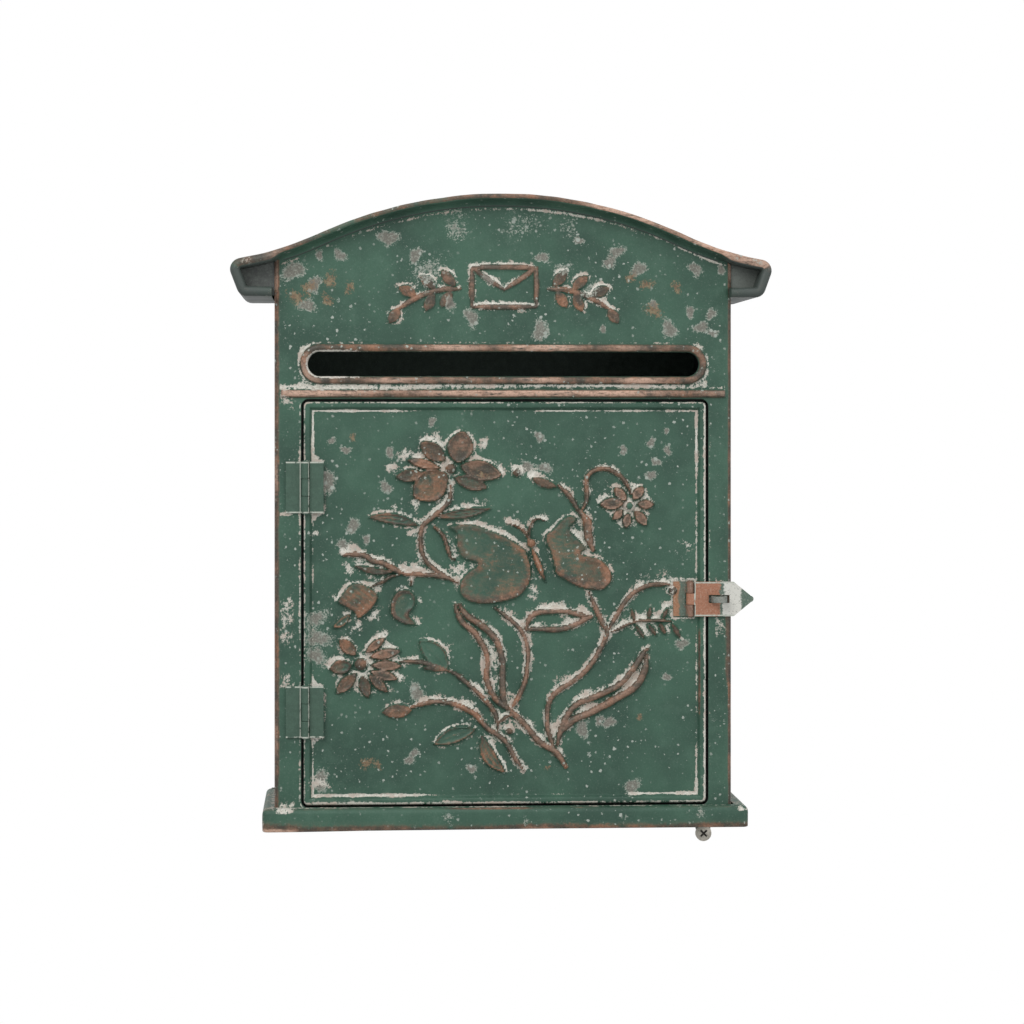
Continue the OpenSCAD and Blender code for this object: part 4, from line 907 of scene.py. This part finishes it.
def buildBody():
    b = body
    half, r = halfBody, b["foldR"]
    back = faceY + b["depth"]
    zBottom = shellLow[2]
    doorX, doorZ = (doorLow[0] + doorHigh[0]) / 2, (doorLow[2] + doorHigh[2]) / 2
    halfDW, halfDH = (doorHigh[0] - doorLow[0]) / 2, (doorHigh[2] - doorLow[2]) / 2
    openX0, openX1 = doorX - halfDW - b["gap"], doorX + halfDW + b["gap"]
    openZ0, openZ1 = doorZ - halfDH - b["gap"], doorZ + halfDH + b["gap"]
    ribZ, slotZ = doorHigh[2] + b["ribRise"], doorHigh[2] + b["slotRise"]
    slotHalf, lipMid = b["slotH"] / 2, b["slotH"] / 2 + b["lipR"]
    slotLine = half - b["slotMargin"] - slotHalf          # half length of the slot's middle line
    slotRim = lipMid + b["lipR"] + 1.4

    # columns from one rear flange round the front to the other
    holeX0, holeX1 = openX0 - b["ring"], openX1 + b["ring"]
    slotX = slotLine + slotRim
    front = gridLines(-half + r, 10, holeX0, int((holeX1 - holeX0) / b["frontStep"]), holeX1, 6, half - r)
    front[np.argmin(np.abs(front + slotX))] = -slotX
    front[np.argmin(np.abs(front - slotX))] = slotX
    turn = np.radians(np.linspace(90, 0, 7)[1:-1])
    sideY = gridLines(back - r, 8, faceY + r)
    plan = [(-half + b["flange"], back, 0), (-half + r, back, 0)]
    plan += [(-half + r - r * math.cos(a), back - r + r * math.sin(a), 0) for a in turn]
    plan += [(-half, y, 0) for y in sideY]
    plan += [(-half + r - r * math.cos(a), faceY + r - r * math.sin(a), 0) for a in turn[::-1]]
    left = len(plan)
    plan += [(x, faceY, 1) for x in front]
    plan += [(-x, y, 0) for x, y, f in plan[:left][::-1]]
    plan = np.array(plan)

    # rows: about 2 mm apart beside the door, close ones above it, the top ones bent to the roof's line
    holeZ0, holeZ1 = openZ0 - 1.0, openZ1 + 0.6
    slotZ0, slotZ1 = slotZ - slotRim, slotZ + slotRim
    low = gridLines(zBottom, 2, holeZ0, b["doorRows"], holeZ1, int((slotZ0 - holeZ1) / b["rowStep"]), slotZ0,
                    int((slotZ1 - slotZ0) / b["rowStep"]), slotZ1)
    share = gridLines(0, b["archRows"], 1)[1:]
    line = archZ(np.clip(plan[:, 0], -half, half), roofInset)
    z = np.concatenate([np.broadcast_to(low, (len(plan), len(low))), slotZ1 + (line - slotZ1)[:, None] * share], 1)
    x = np.broadcast_to(plan[:, :1], z.shape).copy()
    y = np.broadcast_to(plan[:, 1:2], z.shape).copy()
    flat = np.broadcast_to(plan[:, 2:3], z.shape) > 0

    # emblem, in the close rows only
    top = len(low) - 1
    i0, i1 = left, left + len(front)
    field = Field(x[i0:i1, top:], z[i0:i1, top:] - slotZ - b["emblemRise"])
    for points in b["envelope"]:
        field.ridge(points, 3.2, b["emblemH"])
    for side in (-1, 1):
        flip = np.array([side, 1])
        field.ridge(np.array(b["sprig"]) * flip, 3.2, b["emblemH"])
        for base, tip, width in b["sprigLeaves"]:
            field.leaf(np.array(base) * flip, np.array(tip) * flip, width + 0.6, height=b["emblemH"], hollow=0.25,
                       core=0.8, rim=1.0)
    y[i0:i1, top:] -= field.height
    worn, foot = np.zeros(z.shape), np.zeros(z.shape)
    worn[i0:i1, top:] = field.worn * (field.gap < 0.2)
    over = np.gradient(np.minimum(field.gap, 9), axis=1) / np.maximum(np.gradient(field.z, axis=1), 0.05)
    side = np.clip(0.45 + 0.35 * over + 0.7 * wave(field.x, field.z, 33, 7), 0.1, 1)
    halo = np.exp(-(np.maximum(field.gap - 0.1, 0) / (0.7 + 0.8 * side)) ** 1.5)
    foot[i0:i1, top:] = 0.95 * side * halo * (field.gap > -0.4)

    # moulding over the door, its crest rubbed past 1 so that it takes the painted highlight
    rib = np.sqrt(np.clip(b["ribR"] ** 2 - (z - ribZ) ** 2, 0, None)) * ease(0, 1.5, half - r + 0.5 - np.abs(x)) * flat
    y -= rib
    worn = np.maximum(worn, (1.14 + 0.25 * wave(x, z, 60, 3)) * ease(0.5, 1.7, rib))
    leftward = ease(-10, -60, x)
    foot = np.maximum(foot, flat * (0.42 + 0.3 * wave(x, z, 60, 5) + 0.42 * leftward)
                      * np.exp(-((z - ribZ - 3.2) / (0.8 + 0.7 * leftward)) ** 2) * (z > ribZ))
    # copper on both upright folds, strongest on the fold itself
    planX = np.abs(x)
    narrow = (0.4 - 1.2 * ease(-70, -95, z) * ease(-128, -120, z)) * (x > 0)
    foldWear = ease(half - 2.9 + narrow, half - 1.6 + narrow, planX) * (np.abs(y - faceY) < r + 0.1)
    foldWear = foldWear * (0.9 + 0.3 * wave(x * 0, z, 40, 2) - (x > 0) * (0.1 - 0.4 * wave(x * 0, z, 27, 5)))
    worn = np.maximum(worn, foldWear)
    # uneven sheet
    y -= flat * 0.12 * wave(x, z, 85, 4) * ease(0, 20, half - planX)
    upper = flat & (z > ribZ)
    patch = spots(x, z - trayZ - b["bloomZ"], b["blooms"], 1.7) * upper
    rust = spots(x, z - trayZ - b["bloomZ"], b["rusts"], 2.4) * upper
    # pale line along the roof's foot
    strength = upper * (0.3 + 0.25 * wave(x, z, 70, 8) + 0.3 * ease(-45, 20, x))
    foot = np.maximum(foot, strength * np.exp(-((line[:, None] - z - 6.3) / 0.8) ** 2))
    # stile's pale marks at the hinges, the hasp and the foot
    for hz in hingeZ:
        foot = np.maximum(foot, flat * 0.8 * rectLines(x, z, openX0 - 3, hz, 8.6, 13.6, 0.5) * (x < openX0 + 1))
    onStile = flat * ease(openX0 + 0.5, openX0 - 1.5, x) * ease(-half + 0.5, -half + 3, x)
    foot = np.maximum(foot, 0.75 * onStile * np.exp(-((z - holeZ0 - 2.6) / 1.3) ** 2))
    foot = np.maximum(foot, flat * 0.48 * spots(x, z, b["scuffs"], 3.0))

    nu, nv = z.shape
    piece = Piece()
    grid = np.stack([spread(x), y, z], -1)
    cellX = (plan[:-1, 0] + plan[1:, 0]) / 2
    onFront = (plan[:-1, 2] > 0) & (plan[1:, 2] > 0)
    keep = np.ones((nu - 1, nv - 1), bool)
    midZ = (low[:-1] + low[1:]) / 2
    keepLow = keep[:, :len(midZ)]
    inDoor = onFront & (cellX > holeX0) & (cellX < holeX1)
    inSlot = onFront & (np.abs(cellX) < slotX)
    keepLow[np.ix_(inDoor, (midZ > holeZ0) & (midZ < holeZ1))] = False
    keepLow[np.ix_(inSlot, (midZ > slotZ0) & (midZ < slotZ1))] = False
    piece.add(grid, quads(nu, nv, keep=keep.ravel()), worn=worn, foot=foot, patch=patch, rust=rust)
    index = np.arange(nu * nv).reshape(nu, nv)

    def rim(mask, z0, z1):
        # the hole's border, clockwise from the lower left as seen from the front
        i = np.nonzero(mask)[0]
        a, c = i[0], i[-1] + 1
        j0, j1 = np.argmin(np.abs(low - z0)), np.argmin(np.abs(low - z1))
        upLeft, overTop = index[a, j0:j1], index[a:c, j1]
        downRight, back = index[c, j0 + 1:j1 + 1][::-1], index[a + 1:c + 1, j0][::-1]
        return np.concatenate([upLeft, overTop, downRight, back])

    flatGrid = grid.reshape(-1, 3)
    # door opening: rim to rounded outline, jamb, stop and back
    doorLoop = rim(inDoor, holeZ0, holeZ1)
    corner = b["openingR"]

    def doorRim(x, z):
        px, pz = x - doorX, z - doorZ
        hw, hh = halfDW + b["gap"], halfDH + b["gap"]
        cx, cz = np.clip(px, -hw + corner, hw - corner), np.clip(pz, -hh + corner, hh - corner)
        dx, dz = px - cx, pz - cz
        reach = np.hypot(dx, dz)
        dx, dz = dx / reach, dz / reach
        return cx + doorX + dx * corner, cz + doorZ + dz * corner, dx, dz, reach - corner

    stopY, stopIn = faceY + b["stopDepth"], 0.9 - b["stop"]
    jamb = [(share, None, faceY) for share in (0.75, 0.5, 0.28, 0.14)]
    jamb += [(0, 0.25, faceY), (0, 0.07, faceY + 0.09), (0, 0, faceY + 0.35), (0, 0, faceY + 3), (0, 0, stopY),
             (0, stopIn, stopY), (0, stopIn, stopY + sheet), (0, sheet, stopY + sheet), (0, sheet, faceY + sheet)]

    def jambMarks(out, y, x, z):
        edge = (0.66 + 0.35 * wave(x, z, 36, 6)) * np.exp(-((out - 0.75) / 0.42) ** 2) * (y <= faceY + 0.2)
        up = z - openZ0
        edge = edge * (z < openZ1 - 2) * np.where(x < 0, 1.0, 0.3 + 0.6 * ease(95, 110, up) * ease(150, 130, up))
        folds = ease(half - 2.9, half - 1.6, np.abs(x)) * (0.9 + 0.3 * wave(x * 0, z, 40, 2)) * (x < 0)
        # past the face, the jamb and stop are darkened as painted shade in the door gap
        return {"foot": edge, "inside": 0.85 * float(y > faceY + 0.3), "worn": folds * (y <= faceY)}

    holeRing(piece, doorLoop, flatGrid[doorLoop], doorRim, jamb, jambMarks)

    slotLoop = rim(inSlot, slotZ0, slotZ1)

    def slotRimOf(x, z):
        cx = np.clip(x, -slotLine, slotLine)
        dx, dz = x - cx, z - slotZ
        reach = np.hypot(dx, dz)
        return cx, np.full(len(x), slotZ), dx / reach, dz / reach, reach

    lip = [(0, lipMid + b["lipR"] + g, faceY) for g in (0.9, 0.45, 0.1)]
    for a in np.radians(np.linspace(0, 180, 13)):
        lip.append((0, lipMid + b["lipR"] * math.cos(a), faceY - b["lipR"] * math.sin(a)))
    lip += [(0, slotHalf, faceY + 2.4), (0, slotHalf + 0.8, faceY + 2.4), (0, slotHalf + 0.8, faceY + sheet)]

    def lipMarks(out, y, x, z):
        # copper on the lip's crest; where it runs past 1 it shows as a painted highlight
        crest = ease(0.5, 1.7, faceY - y) * (1.02 + 0.3 * wave(x, z, 60, 2)) * (out > slotHalf)
        outside = (0.72 + 0.35 * wave(x, z, 55, 7)) * np.exp(-((out - lipMid - b["lipR"] - 0.6) / 0.9) ** 2) * (y <= faceY)
        outside = outside * (1 - 0.6 * ease(1, 4, z - slotZ) * ease(slotLine + 5, slotLine - 1, np.abs(x)))
        within = 0.85 * ease(-60, -90, x) * np.exp(-((out - slotHalf - 0.5) / 0.7) ** 2) * (y <= faceY)
        # past the face, the slot's sides are darkened as painted shade
        return {"worn": crest, "foot": np.maximum(outside, within), "inside": float(y > faceY + 0.6)}

    holeRing(piece, slotLoop, flatGrid[slotLoop], slotRimOf, lip, lipMarks)

    # lining, a sheet's thickness inside, darkened as painted shade
    slotEnd = slotLine + slotHalf + sheet
    lines = np.unique([*np.linspace(-half + r, half - r, 13), openX0 - sheet, openX1 + sheet, -slotEnd, slotEnd])
    inPlan = [(-half + b["flange"], back - sheet, 0), (-half + sheet, back - sheet, 0), (-half + sheet, faceY + sheet, 0)]
    inPlan += [(x, faceY + sheet, 1) for x in lines] + [(-x, y, 0) for x, y, f in inPlan[::-1]]
    inPlan = np.array(inPlan)
    rows = np.array([zBottom, openZ0 - sheet, openZ1 + sheet, slotZ - slotHalf - sheet, slotZ + slotHalf + sheet])
    inTop = archZ(np.clip(inPlan[:, 0], -half, half), roofInset)
    innerZ = np.concatenate([np.broadcast_to(rows, (len(inPlan), len(rows))), inTop[:, None]], 1)
    innerX, innerY = (np.broadcast_to(line, innerZ.shape) for line in (spread(inPlan[:, :1]), inPlan[:, 1:2]))
    lining = np.stack([innerX, innerY, innerZ], -1)
    keep = np.ones((len(inPlan) - 1, len(rows)), bool)
    mid = (inPlan[:-1, 0] + inPlan[1:, 0]) / 2
    face = (inPlan[:-1, 2] > 0) & (inPlan[1:, 2] > 0)
    keep[face & (mid > openX0 - sheet) & (mid < openX1 + sheet), 1] = False
    keep[face & (np.abs(mid) < slotEnd), 3] = False
    piece.add(lining, quads(len(inPlan), len(rows) + 1, keep=keep.ravel())[:, ::-1], inside=0.85)
    return piece.make("bodySkin", "box", ["body_shell"], paint)


def buildRoof():
    r = roofShape
    points, normals = roofPath(1.3)
    points = points * np.array([r["stretch"], 1]) + np.array([r["shift"], 0])
    run = np.concatenate([[0], np.cumsum(np.hypot(*np.diff(points, axis=0).T))])
    frontY, backY = roofLow[1], roofHigh[1]
    eave = ease(halfBody - 5, halfBody + 3, np.abs(points[:, 0] - r["shift"]))[:, None]
    bead, roll = r["bead"], r["roll"]
    s = np.linspace(0, 1, 9)[1:] * math.pi / 2
    a = np.linspace(0, math.pi, 13)
    back = r["backRows"]

    def section(radius, foot, depth):
        # (inward distance, y): back edge, over the top, round the bead, down the cove, back inside
        cove = 2 * radius + (foot - 2 * radius) * (1 - np.cos(s))
        n = np.concatenate([np.zeros(back), radius - radius * np.cos(a), cove, [sheet, sheet]])
        y = np.concatenate([np.linspace(backY, frontY + 3.5, back), frontY + radius - radius * np.sin(a),
                            frontY + radius + (depth - frontY - radius) * np.sin(s), [depth + 0.3, backY]])
        return n, y

    crownN, crownY = section(bead, 6.0, faceY - 0.25)
    eaveN, eaveY = section(roll, 2 * roll + 0.1, faceY + 3.0)
    n = crownN * (1 - eave) + eaveN * eave
    y = crownY * (1 - eave) + eaveY * eave
    along = run[:, None] + 0 * n
    lump = (0.18 * wave(along, y, 40, 2) + 0.12 * wave(along, y, 17, 4)) * (y < frontY + 6)
    ring = np.stack([points[:, :1] - normals[:, :1] * (n - lump), y, points[:, 1:] - normals[:, 1:] * (n - lump)], -1)
    m = ring.shape[1]
    right = ease(-40, 70, ring[:, :, 0])
    # copper on the bead's crest and top, patchy on the left; past 1, on the top and to the right, it takes the painted
    # highlight
    row = np.broadcast_to(np.arange(m), n.shape)
    onBead = (row >= back - 1) & (row <= back + 8)
    onTop = ease(0, 0.7, np.broadcast_to(normals[:, 1:], n.shape))
    worn = onBead * (0.6 + 0.6 * right + 0.5 * wave(along, along * 0, 46, 3)) * (0.35 + 0.65 * onTop)
    worn = worn * (1 - 0.55 * eave * (1 - onTop))
    worn = np.maximum(worn, 0.75 * ease(frontY + 7, frontY + 3, y) * (row < back))
    bare = 0.45 * eave * (1 - 0.8 * onBead * onTop) * np.where(row < back, 1 - ease(0.1, 0.6, onTop), 1.0)
    # the roof's inner face inside the box is darkened as painted shade
    under = (row >= m - 3) * (1 - eave)
    inside = np.maximum(bare, 0.9 * under)
    foot = 0.35 * eave * onBead * (0.5 + 0.5 * wave(along, along * 0, 9, 5))
    patch = spots(along, y, roofShape["blooms"], 0.7) * (row < back)
    rust = spots(along, y, roofShape["rusts"], 1.9) * (row < back)
    piece = Piece()
    count = len(points)
    piece.add(ring, quads(count, m), worn=worn, foot=foot, inside=inside, patch=patch, rust=rust)
    last = np.arange(count - 1)
    piece.faces += np.stack([last * m + m - 1, (last + 1) * m + m - 1, (last + 1) * m, last * m], -1).tolist()
    piece.faces += [list(range(m))[::-1], [(count - 1) * m + k for k in range(m)]]
    return piece.make("roofSkin", "box", ["roof"], paint, sharp=42)


base = {
    "cornerR": 3.0, "foldR": 0.9, "topR": 2.8, "inside": 8.0,
    "ledge": (0.85, 6.9),                # narrowest and widest
    "stretch": 1.007, "shift": 1.0, "droop": 0.8,    # it isn't quite true, as the roof
    # x, z over the underside, radius
    "scuffs": [(-114, 11.5, 6), (122, 9, 3)],
    "blooms": [(60, 5, 3), (-30, 6, 4), (100, 7, 4), (10, 4, 3)],
}


def buildBase():
    b = base
    halfW = (trayHigh[0] - trayLow[0]) / 2
    y0, y1 = trayLow[1], trayHigh[1]
    height = trayHigh[2] - trayLow[2]
    r = b["cornerR"]

    def turned(cx, cy, a0, a1):
        a = np.radians(np.linspace(a0, a1, 7))
        return [(cx + r * math.cos(k), cy + r * math.sin(k)) for k in a]

    # plan of the outer wall, clockwise from above starting at the left rear
    plan = turned(-halfW + r, y1 - r, 90, 180) + [(-halfW, y) for y in np.linspace(y1 - r, y0 + r, 24)[1:-1]]
    plan += turned(-halfW + r, y0 + r, 180, 270) + [(x, y0) for x in np.linspace(-halfW + r, halfW - r, 300)[1:-1]]
    plan += turned(halfW - r, y0 + r, 270, 360) + [(halfW, y) for y in np.linspace(y0 + r, y1 - r, 24)[1:-1]]
    plan += turned(halfW - r, y1 - r, 0, 90)
    plan = np.array(plan)
    inX, inY = np.clip(plan[:, 0], -halfW + r, halfW - r), np.clip(plan[:, 1], y0 + r, y1 - r)
    out = plan - np.stack([inX, inY], -1)
    size = np.hypot(*out.T)[:, None]
    out = np.where(size > 1e-6, out / np.maximum(size, 1e-6), 0)
    rear = plan[:, 1] > y1 - 0.01
    ledge = np.maximum(np.abs(plan[:, 0]) - halfBody - 0.05, faceY - 0.05 - plan[:, 1])
    ledge = np.where(rear, b["ledge"][0], ledge)
    ledge = np.clip(ledge, *b["ledge"])
    soft = np.minimum(b["topR"], ledge * 0.45)[:, None]
    ledge = ledge[:, None]
    a = np.linspace(0, math.pi / 2, 8)
    one = np.ones((len(plan), 1))
    # (inward distance, z): underside, lower fold, wall, upper round, ledge, inside
    foldN, foldZ = (one * b["foldR"] * (1 - part(a[::2])) for part in (np.sin, np.cos))
    n = np.concatenate([b["inside"] * one, 1.2 * one, foldN, 0 * one, 0 * one, soft * (1 - np.cos(a)),
                        soft * 0.5 + ledge * 0.5, ledge, ledge, sheet * one, sheet * one, b["inside"] * one], 1)
    z = np.concatenate([0 * one, 0 * one, foldZ, 3.5 * one, 6.5 * one, height - soft + soft * np.sin(a)]
                       + [up * one for up in (height + 0.1, height + 0.25, height - sheet, height - sheet, sheet, sheet)], 1)
    px = plan[:, :1] + 0 * n
    bend = 0.22 * wave(px, z * 3, 90, 2) + 0.12 * wave(px, z * 3, 31, 3)
    n = n + np.where((z > 0.05) & (n < 3), bend, 0)
    z = z + 0.25 * ease(halfW - 12, halfW, np.abs(px)) * wave(px * 0, z, 8, 1)
    # the tray sits a little to the right and droops at its left end
    x = (plan[:, :1] - out[:, :1] * n) * b["stretch"] + b["shift"]
    z = z - b["droop"] * ease(-30, -125, px) * ease(height * 0.8, 0, z)
    ring = np.stack([x, plan[:, 1:] - out[:, 1:] * n, z + trayZ], -1)
    m = ring.shape[1]
    row = np.broadcast_to(np.arange(m), n.shape)
    # copper on the lower fold and, here and there, on the upper one
    lower = (row >= 1) & (row <= 6)
    rubbed = 1.05 * np.exp(-(z / 2.6) ** 2) * (0.85 + 0.3 * wave(px, z, 70, 5))
    worn = lower * (rubbed + 0.55 * ease(6, 1, z) * ease(-100, -118, px))
    upper = np.exp(-((row - 13) / 1.5) ** 2)
    worn = np.maximum(worn, upper * (0.3 + 0.25 * wave(px, z, 44, 6) + 0.85 * ease(-34, -22, px) * ease(20, 4, px)))
    foot = 0.75 * np.exp(-((row - 16) / 0.8) ** 2) * (0.65 + 0.4 * wave(px, z, 60, 7))
    foot = np.maximum(foot, 0.85 * spots(px, z, b["scuffs"], 1.0) * (row > 8))
    foot = np.maximum(foot, 0.5 * ease(halfW - 1.6, halfW - 0.2, np.abs(px)) * (0.5 + 0.5 * wave(px, z * 4, 20, 3)))
    patch = 0.6 * spots(px, z, b["blooms"], 1.0)
    piece = Piece()
    # the tray's inner rows are darkened as painted shade
    piece.add(ring, quads(len(plan), m, closed=True),
              worn=worn, foot=foot, patch=patch, inside=0.8 * (row >= m - 4))
    piece.faces.append([k * m for k in range(len(plan))][::-1])
    piece.faces.append([k * m + m - 1 for k in range(len(plan))])
    return piece.make("baseSkin", "box", ["base_tray"], paint)


buildDoor()
print("door done")
buildBody()
buildRoof()
buildBase()
print("body, roof and base done")


studio = {
    "floorZ": -1.25, "floorHalf": 2.4,
    "camera": (-0.086, -1.584, 0.012), "turn": 0.06, "lens": 101.9, "shiftY": -0.0912,
    "world": 0.42,
    # name, place, size, watts; each lamp points at aim
    "lamps": [("keyLamp", (-0.9, -1.7, 1.15), 1.1, 24), ("fillLamp", (1.3, -1.5, 0.3), 1.3, 9),
              ("topLamp", (0.1, -0.5, 1.5), 1.0, 6)],
    "aim": (0, -0.05, -0.04),
}


def buildStudio():
    s = studio
    world = bpy.data.worlds.new("paleRoom")
    bpy.context.scene.world = world
    world.use_nodes = True
    tree = world.node_tree
    tree.nodes.clear()
    # white to the camera, in gloss and through glass; dimmer as light on the object
    rays = add(tree, "LightPath").node.outputs
    seen = add(tree, "Math", rays["Is Camera Ray"], rays["Is Transmission Ray"], operation="MAXIMUM")
    seen = add(tree, "Math", seen, rays["Is Glossy Ray"], operation="MAXIMUM")
    plain = add(tree, "Background", (0.93, 0.95, 1.0, 1), s["world"])
    white = add(tree, "Background", (1, 1, 1, 1), 1.0)
    add(tree, "OutputWorld", add(tree, "MixShader", seen, plain, white))

    half = s["floorHalf"]
    corners = [(x * half, y * half, s["floorZ"]) for x, y in ((-1, -1), (1, -1), (1, 1), (-1, 1))]
    mesh = bpy.data.meshes.new("paleFloor")
    mesh.from_pydata(corners, [], [(0, 1, 2, 3)])
    floor = bpy.data.objects.new("paleFloor", mesh)
    bpy.context.scene.collection.objects.link(floor)
    material, tree = newMaterial("paleMattFloor")
    add(tree, "OutputMaterial", add(tree, "BsdfPrincipled", named={"Base Color": linear("#f2f2f0"), "Roughness": 0.9}))
    mesh.materials.append(material)

    for name, place, size, watts in s["lamps"]:
        lamp = bpy.data.lights.new(name, "AREA")
        lamp.size = size
        lamp.energy = watts
        holder = bpy.data.objects.new(name, lamp)
        bpy.context.scene.collection.objects.link(holder)
        holder.location = place
        away = np.array(place) - np.array(s["aim"])
        holder.rotation_euler = (math.atan2(math.hypot(away[0], away[1]), away[2]), 0, math.atan2(away[0], -away[1]))

    camera = bpy.data.cameras.new("camera")
    camera.lens = s["lens"]
    camera.sensor_width = 36
    camera.shift_y = s["shiftY"]
    holder = bpy.data.objects.new("camera", camera)
    bpy.context.scene.collection.objects.link(holder)
    holder.location = s["camera"]
    holder.rotation_euler = (math.pi / 2, 0, -s["turn"])
    bpy.context.scene.camera = holder
    bpy.context.scene.view_settings.view_transform = "Standard"


buildStudio()
for name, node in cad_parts.items():
    if name in ("body_shell", "roof", "base_tray", "door_panel"):
        continue
    node.data.materials.clear()
    node.data.materials.append(fittings.get(name, fittingPaint))
print("studio done")
